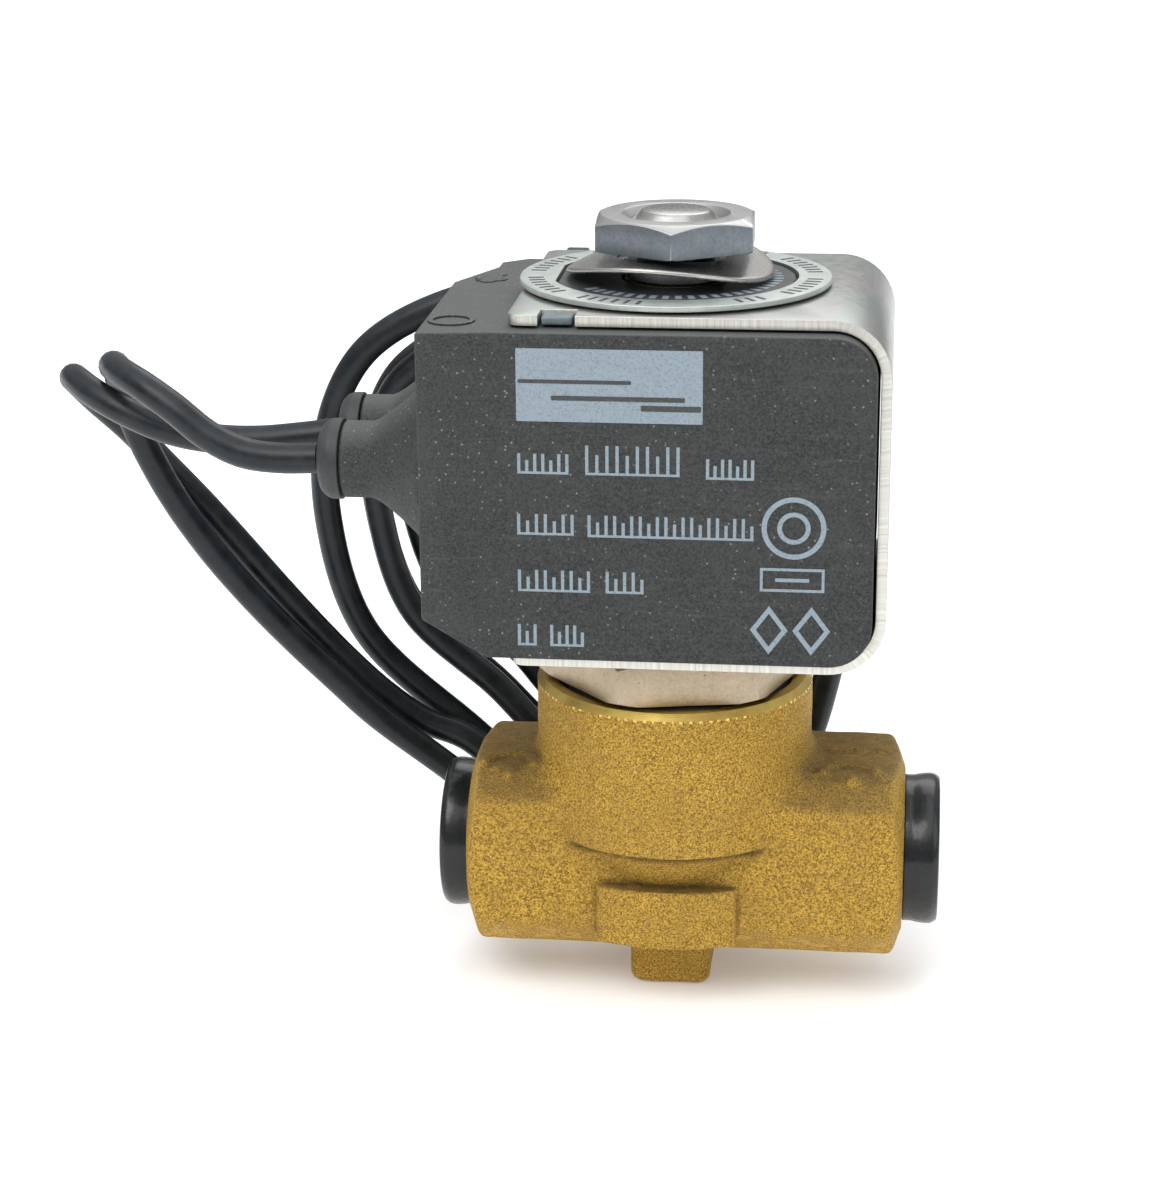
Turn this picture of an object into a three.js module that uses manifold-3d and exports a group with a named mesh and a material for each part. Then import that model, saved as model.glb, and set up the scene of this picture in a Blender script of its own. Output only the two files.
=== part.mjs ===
// A small direct-acting solenoid valve: a forged brass body with two threaded ports,
// a screwed-in guide tube with a spring-returned plunger, and a clip-round coil with two
// flying leads that are coiled up behind the valve.
//
// Millimetres, +Z up. The origin is on the plunger axis, on the underside of the foot.
// X runs along the two ports (the coil's lead outlets point to -X), and the coil's
// printed face looks to -Y.

import * as THREE from 'three';
import { mergeVertices } from 'three/addons/utils/BufferGeometryUtils.js';
import Module from 'manifold-3d';

const wasm = await Module();
wasm.setup();

// ---------------------------------------------------------------- driving dimensions

const GAP = 0.3; // clearance between neighbours that would touch

// valve body
const FOOT = { halfX: 4.55, halfY: 6.0 };
const BLOCK = { x0: -23.2, x1: 26.6, halfY: 10.8, z0: 5.3, z1: 27.3, chamferTop: 3.2, chamferBottom: 4.0 };
const END_FACE_RADIUS = 9.3; // flat part of each port face, the rest is coned back
const END_CONE_SLOPE = 0.36;
const BARREL = { radius: 15.74, z0: 19.8, z1: 37.0, edge: 0.6 };
const PAD = { halfX: 7.9, z0: 7.9, z1: 14.7, front: 13.1, curve: 20.0 };
const PORT_Z = 16.0;
const PORT = { radius: 5.75, depth: 13.0, spotRadius: 8.9, spotDepth: 1.25, passage: 3.2 };
const SEAT = { orifice: 2.2, radius: 3.7, z: 22.0 };
const CHAMBER = { radius: 8.3, z0: 19.5 };
const THREAD_BORE = { radius: 11.5, z0: 28.5 };
const SEAL_LEDGE = { radius: 13.8, z: 35.0 };
const FEED = { x: -6.0, radius: 2.1 };

// port plugs
const PLUG = {
  flange: 8.7, flangeLength: 3.0, shoulder: 8.35, shoulderLength: 1.15, spigot: 5.35, length: 6.2,
};
const RIGHT_PLUG_STANDS_OUT = 0.7;

// guide tube, core and plunger
const HEX = { acrossFlats: 27, z0: 37.35, z1: 42.7, turn: -19 };
const STEM = { radius: 5.6, bore: 5.0, z1: 82.5 };
const SPIGOT = { radius: 11.15, z0: 29.0 };
const CORE = { radius: 4.7, z0: 62.0, collarTop: 84.3 };
const STUD = { radius: 4.85, tip: 4.05, z1: 90.0 };
const PLUNGER = { radius: 4.65, z0: 23.6, z1: 60.3, bore: 2.6, boreDepth: 9.8 };
const SPRING = { radius: 1.85, wire: 0.3, z0: 50.8, z1: 61.7, turns: 6 };

// coil
const COIL = { x0: -25.6, x1: 22.5, front: -20.06, rear: 20.0, z0: 44.6, z1: 80.4 };
const BORE_RADIUS = 6.2;
const SEAL_POCKET = 8.5; // radius of the recess that holds each coil seal
const YOKE = { x0: -16.3, x1: 23.95, halfY: 18.1, z0: 43.15, z1: 81.85, sheet: 1.15, bend: 6.2 };
const NOTCH = { x0: -13.0, x1: -9.1, y1: -14.8 };
const OUTLET_Z = 64.3;
const OUTLET_Y = { front: -12.0, rear: 0.0 };
const OUTLET = { radius: 4.2, barrelX: -35.1, coneX: -31.2, coneRadius: 9.2, capX: -37.8, capRadius: 4.45 };

// stack on top of the coil
const NAMEPLATE = { outer: 17.1, inner: 13.5, z0: 82.15, z1: 82.75, flatX: -12.8 };
const TOP_DISC = { outer: 13.1, inner: 6.0, z0: 82.15, z1: 82.5 };
const SPRING_WASHER = { outer: 11.4, inner: 5.95, sheet: 0.55, zTop: 85.7, drop: 2.3 };
const NUT = { acrossFlats: 17, z0: 86.05, z1: 89.65, bore: 5.15, turn: 1.5 };

// leads
const LEAD_RADIUS = 1.7;
const LEAD_STEP = 7.6; // length of one straight piece of the plain lead solid
const LEAD_END = { radius: 0.9, length: 6.0 };

// ------------------------------------------------------------------- geometry helpers

const MERGE_TOLERANCE = 1e-4;

function volumeOf(position, triangles) {
  let volume = 0;
  const [a, b, c] = [new THREE.Vector3(), new THREE.Vector3(), new THREE.Vector3()];
  for (let i = 0; i < triangles.length; i += 3) {
    a.fromBufferAttribute(position, triangles[i]);
    b.fromBufferAttribute(position, triangles[i + 1]);
    c.fromBufferAttribute(position, triangles[i + 2]);
    volume += a.dot(b.cross(c)) / 6;
  }
  return volume;
}

// One closed skin with shared corners and its faces pointing out.
function closedSkin(geometry) {
  const plain = geometry.index ? geometry.toNonIndexed() : geometry.clone();
  plain.deleteAttribute('normal');
  plain.deleteAttribute('uv');
  const merged = mergeVertices(plain, MERGE_TOLERANCE);
  const index = merged.index.array;
  const triangles = [];
  for (let i = 0; i < index.length; i += 3) {
    const [a, b, c] = [index[i], index[i + 1], index[i + 2]];
    if (a !== b && b !== c && c !== a) triangles.push(a, b, c);
  }
  const position = merged.attributes.position;
  if (volumeOf(position, triangles) < 0) triangles.reverse();
  const skin = new THREE.BufferGeometry();
  skin.setAttribute('position', position);
  skin.setIndex(triangles);
  return skin;
}

function solid(geometry) {
  const skin = closedSkin(geometry);
  return new wasm.Manifold(new wasm.Mesh({
    numProp: 3,
    vertProperties: new Float32Array(skin.attributes.position.array),
    triVerts: new Uint32Array(skin.index.array),
  }));
}

function join(...geometries) {
  return geometries.map((g) => (g.isBufferGeometry ? solid(g) : g)).reduce((a, b) => a.add(b));
}

function cut(base, ...tools) {
  const start = base.isBufferGeometry ? solid(base) : base;
  return tools.reduce((body, tool) => body.subtract(tool.isBufferGeometry ? solid(tool) : tool), start);
}

function common(base, tool) {
  const start = base.isBufferGeometry ? solid(base) : base;
  return start.intersect(tool.isBufferGeometry ? solid(tool) : tool);
}

function skinOf(manifold) {
  const mesh = manifold.getMesh();
  const skin = new THREE.BufferGeometry();
  skin.setAttribute('position', new THREE.BufferAttribute(new Float32Array(mesh.vertProperties), 3));
  skin.setIndex(new THREE.BufferAttribute(new Uint32Array(mesh.triVerts), 1));
  return skin;
}

// A turned shape about +Z from [radius, z] pairs, ending on the axis or closing on itself.
function turned(profile, segments = 36) {
  const points = profile.map(([radius, z]) => new THREE.Vector2(radius, z));
  return new THREE.LatheGeometry(points, segments).rotateX(Math.PI / 2);
}

function rod(radius, z0, z1, segments = 36) {
  return turned([[0, z0], [radius, z0], [radius, z1], [0, z1]], segments);
}

function tube(inner, outer, z0, z1, segments = 36) {
  return turned([[inner, z0], [outer, z0], [outer, z1], [inner, z1], [inner, z0]], segments);
}

// A torus-shaped seal about +Z.
function sealRing(radius, section, z, segments = 32, sides = 6) {
  const profile = [];
  for (let i = 0; i <= sides; i += 1) {
    const angle = (2 * Math.PI * i) / sides;
    profile.push([radius + section * Math.cos(angle), z + section * Math.sin(angle)]);
  }
  return turned(profile, segments);
}

// The same turned shape laid along +X, with its z values read as x.
function turnedAlongX(profile, y, z, segments = 32) {
  return turned(profile, segments).rotateY(Math.PI / 2).translate(0, y, z);
}

function rodAlongX(radius, x0, x1, y, z, segments = 28) {
  return turnedAlongX([[0, x0], [radius, x0], [radius, x1], [0, x1]], y, z, segments);
}

function block(x0, x1, y0, y1, z0, z1) {
  return new THREE.BoxGeometry(x1 - x0, y1 - y0, z1 - z0)
    .translate((x0 + x1) / 2, (y0 + y1) / 2, (z0 + z1) / 2);
}

function shapeOf(points) {
  return new THREE.Shape(points.map(([a, b]) => new THREE.Vector2(a, b)));
}

function extruded(shape, length, curveSegments = 8) {
  return new THREE.ExtrudeGeometry(shape, { depth: length, bevelEnabled: false, curveSegments });
}

// A section drawn in X and Z, extruded from y0 to y1.
function extrudedAlongY(shape, y0, y1, curveSegments = 8) {
  return extruded(shape, y1 - y0, curveSegments).rotateX(Math.PI / 2).translate(0, y1, 0);
}

// A section drawn in Y and Z, extruded from x0 to x1.
function extrudedAlongX(shape, x0, x1) {
  const axes = new THREE.Matrix4().makeBasis(
    new THREE.Vector3(0, 1, 0),
    new THREE.Vector3(0, 0, 1),
    new THREE.Vector3(1, 0, 0),
  );
  return extruded(shape, x1 - x0).applyMatrix4(axes).translate(x0, 0, 0);
}

function hexagon(acrossFlats, turnDegrees) {
  const radius = acrossFlats / Math.sqrt(3);
  const corners = [];
  for (let i = 0; i < 6; i += 1) {
    const angle = THREE.MathUtils.degToRad(turnDegrees - 90 + 60 * i);
    corners.push([radius * Math.cos(angle), radius * Math.sin(angle)]);
  }
  return shapeOf(corners);
}

// ------------------------------------------------------------------------- valve body

function portBlock() {
  const { x0, x1, halfY, z0, z1, chamferTop: top, chamferBottom: bottom } = BLOCK;
  const section = shapeOf([
    [-halfY + bottom, z0], [halfY - bottom, z0], [halfY, z0 + bottom], [halfY, z1 - top],
    [halfY - top, z1], [-halfY + top, z1], [-halfY, z1 - top], [-halfY, z0 + bottom],
  ]);
  const reach = 15; // beyond the block's corners
  const back = END_CONE_SLOPE * (reach - END_FACE_RADIUS);
  const ends = turnedAlongX([
    [0, x0], [END_FACE_RADIUS, x0], [reach, x0 + back], [reach, x1 - back], [END_FACE_RADIUS, x1], [0, x1],
  ], 0, PORT_Z, 40);
  return common(extrudedAlongX(section, x0, x1), ends);
}

function forgedPad(side) {
  const column = rod(PAD.curve, PAD.z0, PAD.z1, 56).translate(0, side * (PAD.front - PAD.curve), 0);
  const window = side < 0
    ? block(-PAD.halfX, PAD.halfX, -PAD.front, 0, PAD.z0, PAD.z1)
    : block(-PAD.halfX, PAD.halfX, 0, PAD.front, PAD.z0, PAD.z1);
  return common(column, window);
}

function portBore(side) {
  const mouth = side < 0 ? BLOCK.x0 : BLOCK.x1;
  const inward = -side;
  const at = (depth) => mouth + inward * depth;
  const passageEnd = side < 0 ? FEED.x + FEED.radius : 0;
  const stretch = (radius, from, to) => rodAlongX(radius, Math.min(from, to), Math.max(from, to), 0, PORT_Z);
  return join(
    stretch(PORT.spotRadius, at(-1), at(PORT.spotDepth)),
    stretch(PORT.radius, at(0), at(PORT.depth)),
    stretch(PORT.passage, at(PORT.depth - 1), passageEnd),
  );
}

function valveBody() {
  const { radius, z0, z1, edge } = BARREL;
  const barrel = turned([[0, z0], [radius - edge, z0], [radius, z0 + edge], [radius, z1 - edge],
    [radius - edge, z1], [0, z1]], 56);
  const foot = block(-FOOT.halfX, FOOT.halfX, -FOOT.halfY, FOOT.halfY, 0, BLOCK.z0 + 1);
  const outside = join(portBlock(), barrel, foot, forgedPad(-1), forgedPad(1));
  const chamber = turned([[SEAT.radius, CHAMBER.z0], [CHAMBER.radius, CHAMBER.z0],
    [CHAMBER.radius, THREAD_BORE.z0], [THREAD_BORE.radius, THREAD_BORE.z0],
    [THREAD_BORE.radius, SEAL_LEDGE.z], [SEAL_LEDGE.radius, SEAL_LEDGE.z],
    [SEAL_LEDGE.radius, z1 + 1], [0, z1 + 1], [0, SEAT.z], [SEAT.radius - 0.5, SEAT.z],
    [SEAT.radius, SEAT.z - 0.6], [SEAT.radius, CHAMBER.z0]], 36);
  const orifice = rod(SEAT.orifice, PORT_Z, SEAT.z + 1, 24);
  const feed = rod(FEED.radius, PORT_Z, CHAMBER.z0 + 1, 20).translate(FEED.x, 0, 0);
  return skinOf(cut(outside, chamber, orifice, feed, portBore(-1), portBore(1)));
}

// A push-in port plug, drawn for the +X port with its flange against the port face.
function portPlug() {
  const face = BLOCK.x1 + GAP;
  const outer = face + PLUG.flangeLength;
  const inner = face - PLUG.length;
  const profile = [
    [0, inner], [PLUG.spigot - 0.6, inner], [PLUG.spigot, inner + 1.2],
    [PLUG.spigot, face - PLUG.shoulderLength], [PLUG.shoulder, face - PLUG.shoulderLength],
    [PLUG.shoulder, face], [PLUG.flange, face], [PLUG.flange, outer - 0.7],
    [PLUG.flange - 0.7, outer], [5.6, outer], [5.0, outer - 1.6], [0, outer - 1.6],
  ];
  return turnedAlongX(profile, 0, PORT_Z, 32);
}

function bodySeal() {
  return sealRing(12.55, 0.9, SEAL_LEDGE.z + GAP + 0.9);
}

// ------------------------------------------------------------ guide tube and plunger

function enclosingTube() {
  const chamfer = turned([[0, HEX.z0], [14.8, HEX.z0], [15.8, HEX.z0 + 0.5], [15.8, HEX.z1 - 1.2],
    [13.4, HEX.z1], [0, HEX.z1]], 40);
  const prism = extruded(hexagon(HEX.acrossFlats, HEX.turn), HEX.z1 - HEX.z0).translate(0, 0, HEX.z0);
  const hex = common(prism, chamfer);
  const lower = rod(SPIGOT.radius, SPIGOT.z0, HEX.z0 + 1);
  const stem = rod(STEM.radius, HEX.z0, STEM.z1);
  const bore = rod(STEM.bore, SPIGOT.z0 - 1, STEM.z1 + 1);
  const relief = turned([
    [0, SPIGOT.z0 - 1], [8.0, SPIGOT.z0 - 1], [8.0, SPIGOT.z0 + 3], [0, SPIGOT.z0 + 6],
  ], 32);
  return skinOf(cut(join(hex, lower, stem), bore, relief));
}

function fixedCore() {
  const groove = { inner: 2.75, outer: 4.2, depth: 1.6 };
  return turned([
    [0, CORE.z0], [groove.inner, CORE.z0], [groove.inner, CORE.z0 + groove.depth],
    [groove.outer, CORE.z0 + groove.depth], [groove.outer, CORE.z0], [CORE.radius, CORE.z0],
    [CORE.radius, STEM.z1 + GAP], [STEM.radius, STEM.z1 + GAP], [STEM.radius, CORE.collarTop],
    [STUD.radius, CORE.collarTop], [STUD.radius, STUD.z1 - 0.8], [STUD.tip, STUD.z1], [0, STUD.z1],
  ], 32);
}

function shadingRing() {
  return tube(3.05, 3.9, CORE.z0 + 0.05, CORE.z0 + 1.3, 24);
}

function plunger() {
  const pocket = 3.4; // radius of the seal's pocket
  const body = turned([
    [0, PLUNGER.z0 + 2.2], [pocket, PLUNGER.z0 + 2.2], [pocket, PLUNGER.z0], [4.2, PLUNGER.z0],
    [PLUNGER.radius, PLUNGER.z0 + 0.5], [PLUNGER.radius, PLUNGER.z1 - 0.4], [4.3, PLUNGER.z1],
    [PLUNGER.bore, PLUNGER.z1], [PLUNGER.bore, PLUNGER.z1 - PLUNGER.boreDepth],
    [0, PLUNGER.z1 - PLUNGER.boreDepth],
  ], 36);
  const grooves = [-1, 1].map((side) => block(
    side > 0 ? 4.1 : -6, side > 0 ? 6 : -4.1, -0.7, 0.7, PLUNGER.z0 + 6, PLUNGER.z1 + 1,
  ));
  return skinOf(cut(body, ...grooves));
}

function plungerSeal() {
  return turned([[0, SEAT.z + GAP], [2.9, SEAT.z + GAP], [3.1, SEAT.z + GAP + 0.2],
    [3.1, PLUNGER.z0 + 2.2 - GAP], [0, PLUNGER.z0 + 2.2 - GAP]], 28);
}

class Helix extends THREE.Curve {
  getPoint(t, target = new THREE.Vector3()) {
    const angle = 2 * Math.PI * SPRING.turns * t;
    const travel = SPRING.z1 - SPRING.z0 - 2 * SPRING.wire;
    const z = SPRING.z0 + SPRING.wire + travel * t;
    return target.set(SPRING.radius * Math.cos(angle), SPRING.radius * Math.sin(angle), z);
  }
}

function roundSection(radius) {
  return new THREE.Shape().absarc(0, 0, radius, 0, 2 * Math.PI, false);
}

// A round bar swept along a curve. The section has eight sides.
function swept(curve, radius, steps) {
  return new THREE.ExtrudeGeometry(roundSection(radius), {
    extrudePath: curve, steps, curveSegments: 4, bevelEnabled: false,
  });
}

function returnSpring() {
  return swept(new Helix(), SPRING.wire, SPRING.turns * 12);
}

// ------------------------------------------------------------------------------- coil

// The coil's front view: one corner cut off under the lead outlets, the others rounded.
function coilFrontView() {
  const { x0, x1, z0, z1 } = COIL;
  const shape = new THREE.Shape();
  shape.moveTo(x0, z1);
  shape.lineTo(x0, z0 + 4.4);
  shape.lineTo(x0 + 6.9, z0);
  shape.lineTo(x1 - 4.6, z0);
  shape.absarc(x1 - 4.6, z0 + 4.6, 4.6, -Math.PI / 2, 0, false);
  shape.lineTo(x1, z1 - 4.6);
  shape.absarc(x1 - 4.6, z1 - 4.6, 4.6, 0, Math.PI / 2, false);
  shape.closePath();
  return shape;
}

// The coil's top view: the face kicks forward a little at the outlet end, and the rear
// corner there is cut back in two steps.
function coilTopView() {
  const { x0, x1, front, rear } = COIL;
  return shapeOf([
    [x0, front - 0.9], [-18.2, front], [x1, front], [x1, rear], [-19.0, rear],
    [-21.8, rear - 2.4], [-21.8, rear - 5.2], [x0, 5.8],
  ]);
}

function outletBoss(y) {
  const { radius, barrelX, coneX, coneRadius } = OUTLET;
  const root = COIL.x0 + 2;
  return turnedAlongX([[0, barrelX], [radius - 0.2, barrelX], [radius, barrelX + 0.2], [radius, coneX],
    [coneRadius, COIL.x0], [coneRadius, root], [0, root]], y, OUTLET_Z, 32);
}

function coilHousing() {
  const blockShape = common(
    extrudedAlongY(coilFrontView(), COIL.front - 2, COIL.rear + 1, 6),
    extruded(coilTopView(), COIL.z1 - COIL.z0 + 2).translate(0, 0, COIL.z0 - 1),
  );
  const bosses = join(outletBoss(OUTLET_Y.front), outletBoss(OUTLET_Y.rear));
  const clearOfFront = block(-50, 0, COIL.front - 0.8, 12, COIL.z0, COIL.z1);
  const outside = join(blockShape, common(bosses, clearOfFront));
  const pocket = rod(15.6, COIL.z0 + 1.7, COIL.z1 - 1.7, 40);
  const bore = rod(BORE_RADIUS, COIL.z0 - 1, COIL.z1 + 1, 32);
  const sealPockets = [[COIL.z0 - 1, COIL.z0 + 0.65], [COIL.z1 - 0.85, COIL.z1 + 1]]
    .map(([from, to]) => rod(SEAL_POCKET, from, to, 36));
  const leadHoles = [OUTLET_Y.front, OUTLET_Y.rear]
    .map((y) => rodAlongX(2.1, OUTLET.barrelX - 1, -8, y, OUTLET_Z, 20));
  return skinOf(cut(outside, pocket, bore, ...sealPockets, ...leadHoles));
}

function bobbin() {
  const z0 = COIL.z0 + 2.0;
  const z1 = COIL.z1 - 2.0;
  return turned([[5.95, z0], [15.2, z0], [15.2, z0 + 1.1], [7.1, z0 + 1.1], [7.1, z1 - 1.1],
    [15.2, z1 - 1.1], [15.2, z1], [5.95, z1], [5.95, z0]], 32);
}

function winding() {
  return tube(7.1 + GAP, 14.2, COIL.z0 + 3.4, COIL.z1 - 3.4);
}

function leadCrimp(y) {
  return turnedAlongX([[0, -27.0], [1.2, -27.0], [1.5, -26.5], [1.5, -20.5], [1.2, -20.0], [0, -20.0]],
    y, OUTLET_Z, 20);
}

function outletCap(y) {
  const { barrelX, capX, capRadius } = OUTLET;
  const back = barrelX - GAP;
  const hole = LEAD_RADIUS + GAP;
  return turnedAlongX([[hole, capX], [2.9, capX + 0.15], [3.9, capX + 0.8], [capRadius, capX + 1.7],
    [capRadius, back], [hole, back], [hole, capX]], y, OUTLET_Z, 32);
}

// The yoke is one bent sheet: top leaf, side leaf and bottom leaf.
function yoke() {
  const { x0, x1, halfY, z0, z1, sheet, bend } = YOKE;
  const inner = bend - sheet;
  const shape = new THREE.Shape();
  shape.moveTo(x0, z0);
  shape.lineTo(x1 - bend, z0);
  shape.absarc(x1 - bend, z0 + bend, bend, -Math.PI / 2, 0, false);
  shape.lineTo(x1, z1 - bend);
  shape.absarc(x1 - bend, z1 - bend, bend, 0, Math.PI / 2, false);
  shape.lineTo(x0, z1);
  shape.lineTo(x0, z1 - sheet);
  shape.lineTo(x1 - bend, z1 - sheet);
  shape.absarc(x1 - bend, z1 - bend, inner, Math.PI / 2, 0, true);
  shape.lineTo(x1 - sheet, z0 + bend);
  shape.absarc(x1 - bend, z0 + bend, inner, 0, -Math.PI / 2, true);
  shape.lineTo(x0, z0 + sheet);
  shape.closePath();
  const strip = extrudedAlongY(shape, -halfY, halfY, 6);
  const holes = rod(SEAL_POCKET, z0 - 1, z1 + 1);
  const notch = block(NOTCH.x0, NOTCH.x1, -halfY - 1, NOTCH.y1, z1 - 2, z1 + 1);
  return skinOf(cut(strip, holes, notch));
}

function yokeKey() {
  const [y0, y1] = [-YOKE.halfY + 0.5, NOTCH.y1 - GAP];
  return block(NOTCH.x0 + GAP, NOTCH.x1 - GAP, y0, y1, COIL.z1 + GAP, YOKE.z1 - 0.25);
}

function coilSeal(z) {
  return sealRing(7.2, 0.95, z, 28);
}

// ------------------------------------------------------------- stack on top of the coil

function nameplate() {
  const { outer, inner, z0, z1, flatX } = NAMEPLATE;
  const hole = common(rod(inner, z0 - 1, z1 + 1, 48), block(flatX, 20, -20, 20, z0 - 1, z1 + 1));
  return skinOf(cut(rod(outer, z0, z1, 56), hole));
}

function topDisc() {
  const disc = tube(TOP_DISC.inner, TOP_DISC.outer, TOP_DISC.z0, TOP_DISC.z1, 44);
  return skinOf(common(disc, block(NAMEPLATE.flatX + GAP, 20, -20, 20, TOP_DISC.z0 - 1, TOP_DISC.z1 + 1)));
}

// A washer bent about the Y direction: high in the middle, low at its two X ends.
function springWasher() {
  const { outer, inner, sheet, zTop, drop } = SPRING_WASHER;
  const radii = [inner, 7.7, 9.6, outer];
  const under = radii.map((radius) => [radius, zTop - sheet]);
  const over = [...radii].reverse().map((radius) => [radius, zTop]);
  const washer = turned([...under, ...over, under[0]], 40);
  const position = washer.attributes.position;
  for (let i = 0; i < position.count; i += 1) {
    const x = position.getX(i);
    position.setZ(i, position.getZ(i) - drop * (x / outer) ** 2);
  }
  return closedSkin(washer);
}

function clampNut() {
  const { acrossFlats, z0, z1, bore, turn } = NUT;
  const prism = extruded(hexagon(acrossFlats, turn), z1 - z0).translate(0, 0, z0);
  const corners = turned([[0, z0], [9.1, z0], [9.9, z0 + 0.35], [9.9, z1 - 0.9], [8.1, z1], [0, z1]], 40);
  const hole = turned([[0, z0 - 1], [bore, z0 - 1], [bore, z1 - 0.75], [bore + 0.75, z1],
    [bore + 0.75, z1 + 1], [0, z1 + 1]], 32);
  return skinOf(cut(common(prism, corners), hole));
}

// ------------------------------------------------------------------------------ leads
// Each lead leaves its outlet to -X, bends back on itself and runs down behind the body,
// where the rest of its length is coiled up, standing on edge behind the coil.

const FREE_RUN = {
  front: [
    [-38.1, -12.0, 64.3], [-42.5, -12.0, 64.2], [-46.6, -11.9, 64.7], [-50.6, -11.4, 66.5],
    [-54.4, -10.5, 69.2], [-58.0, -8.9, 71.1], [-61.2, -6.0, 71.9], [-63.2, -2.4, 71.8],
    [-64.2, 1.6, 70.9], [-65.1, 5.6, 69.2], [-65.3, 8.6, 65.5], [-64.2, 10.1, 60.5],
    [-61.4, 11.5, 53.5], [-57.6, 13.1, 46.5], [-53.3, 14.6, 40.2], [-48.4, 16.0, 34.1],
    [-43.4, 17.3, 28.5], [-38.5, 18.6, 23.2],
  ],
  rear: [
    [-38.1, 0.0, 64.1], [-42.5, -0.1, 63.5], [-47.5, -0.2, 63.0], [-52.5, -0.3, 63.1],
    [-57.6, -0.1, 63.9], [-62.6, 0.7, 65.6], [-67.0, 2.8, 67.2], [-70.3, 6.4, 68.0],
    [-71.8, 11.0, 66.9], [-70.7, 14.7, 63.7], [-67.2, 16.3, 59.7], [-63.0, 16.6, 55.1],
    [-59.0, 17.0, 50.6], [-54.9, 17.8, 45.4], [-51.0, 18.9, 40.1], [-47.0, 20.1, 34.8],
    [-42.7, 21.5, 29.4], [-38.1, 22.7, 24.5], [-33.3, 23.4, 20.8],
  ],
};

// One turn of the coiled-up length in X and Z, starting low on the outlet side.
const LOOP = [
  [-28.5, 18.3], [-18.5, 9.6], [-6.5, 4.7], [5.0, 9.0], [12.0, 19.0], [15.4, 30.0],
  [17.3, 43.0], [15.0, 56.5], [7.5, 67.6], [-4.5, 74.0], [-18.5, 75.6], [-31.0, 72.8],
  [-40.0, 67.1], [-44.7, 57.8], [-45.3, 45.6], [-41.4, 31.3],
];
const LOOP_CENTRE = [-14.0, 42.0];
const LOOP_TURNS = 2.25;

// How far each lead lies inside the loop outline and how far back, by turns completed.
const INSET = {
  front: [[0, -3.0], [0.6, -0.6], [0.9, 0.0], [1.6, 3.7], [1.9, 5.6], [2.5, 7.8]],
  rear: [[0, 0.6], [0.15, 2.0], [0.6, 3.9], [0.85, 6.4], [1.0, 6.8], [1.6, 8.2], [1.9, 10.2], [2.5, 13.4]],
};
const DEPTH = {
  front: [[0, 20.8], [1, 27.3], [2.5, 34.8]],
  rear: [[0, 23.5], [1, 28.4], [2.5, 35.8]],
};

function valueAt(pairs, turns) {
  const next = pairs.findIndex(([at]) => at >= turns);
  if (next <= 0) return pairs[0][1];
  const [t0, v0] = pairs[next - 1];
  const [t1, v1] = pairs[next];
  return v0 + ((v1 - v0) * (turns - t0)) / (t1 - t0);
}

function coiledPoints(side) {
  const points = [];
  const count = Math.round(LOOP_TURNS * LOOP.length);
  for (let i = 0; i <= count; i += 1) {
    const turns = i / LOOP.length;
    const [x, z] = LOOP[i % LOOP.length];
    const [dx, dz] = [LOOP_CENTRE[0] - x, LOOP_CENTRE[1] - z];
    const inward = valueAt(INSET[side], turns) / Math.hypot(dx, dz);
    points.push(new THREE.Vector3(x + dx * inward, valueAt(DEPTH[side], turns), z + dz * inward));
  }
  return points;
}

function leadCurve(side) {
  const free = FREE_RUN[side].map(([x, y, z]) => new THREE.Vector3(x, y, z));
  return new THREE.CatmullRomCurve3([...free, ...coiledPoints(side)], false, 'centripetal');
}

function lead(side) {
  const curve = leadCurve(side);
  return swept(curve, LEAD_RADIUS, Math.round(curve.getLength() / LEAD_STEP));
}

// The stripped and tinned tip, a short way past the end of the insulation.
function leadEnd(side) {
  const curve = leadCurve(side);
  const direction = curve.getTangentAt(1);
  const start = curve.getPointAt(1).addScaledVector(direction, GAP);
  const turn = new THREE.Quaternion().setFromUnitVectors(new THREE.Vector3(0, 0, 1), direction);
  return rod(LEAD_END.radius, 0, LEAD_END.length, 12).applyQuaternion(turn)
    .translate(start.x, start.y, start.z);
}

// A flat band round all four strands at the top of the loop.
function leadTie() {
  const centre = { x: -14.5, y: 28.1, z: 71.8 };
  const [halfY, halfZ, band, width] = [5.9, 6.8, 0.9, 2.6];
  const outline = (dy, dz, radius) => shapeOf([
    [dy - radius, -dz], [dy, -dz + radius], [dy, dz - radius], [dy - radius, dz],
    [-dy + radius, dz], [-dy, dz - radius], [-dy, -dz + radius], [-dy + radius, -dz],
  ]);
  const outer = outline(halfY + band, halfZ + band, 2.4);
  outer.holes.push(outline(halfY, halfZ, 2.0));
  return extrudedAlongX(outer, centre.x - width / 2, centre.x + width / 2).translate(0, centre.y, centre.z);
}

// --------------------------------------------------------------------------- assembly

function finish(color, roughness, metalness) {
  return new THREE.MeshStandardMaterial({ color, roughness, metalness });
}

const forgedBrass = () => finish(0xb8924a, 0.62, 0.8);
const blackPlastic = () => finish(0x4a4d4d, 0.7, 0.0);
const glossBlack = () => finish(0x1d2023, 0.3, 0.0);
const zincSteel = () => finish(0xaab0ac, 0.35, 0.9);
const nickelSteel = () => finish(0xab9d80, 0.45, 0.85);
const stainless = () => finish(0x8a8f92, 0.3, 0.95);
const blackRubber = () => finish(0x151617, 0.85, 0.0);
const copper = () => finish(0xb06a3c, 0.4, 0.9);
const leadSheath = () => finish(0x202325, 0.5, 0.0);

const group = new THREE.Group();

function add(name, geometry, material, parent = group) {
  const mesh = new THREE.Mesh(closedSkin(geometry), material);
  mesh.name = name;
  parent.add(mesh);
  return mesh;
}

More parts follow.
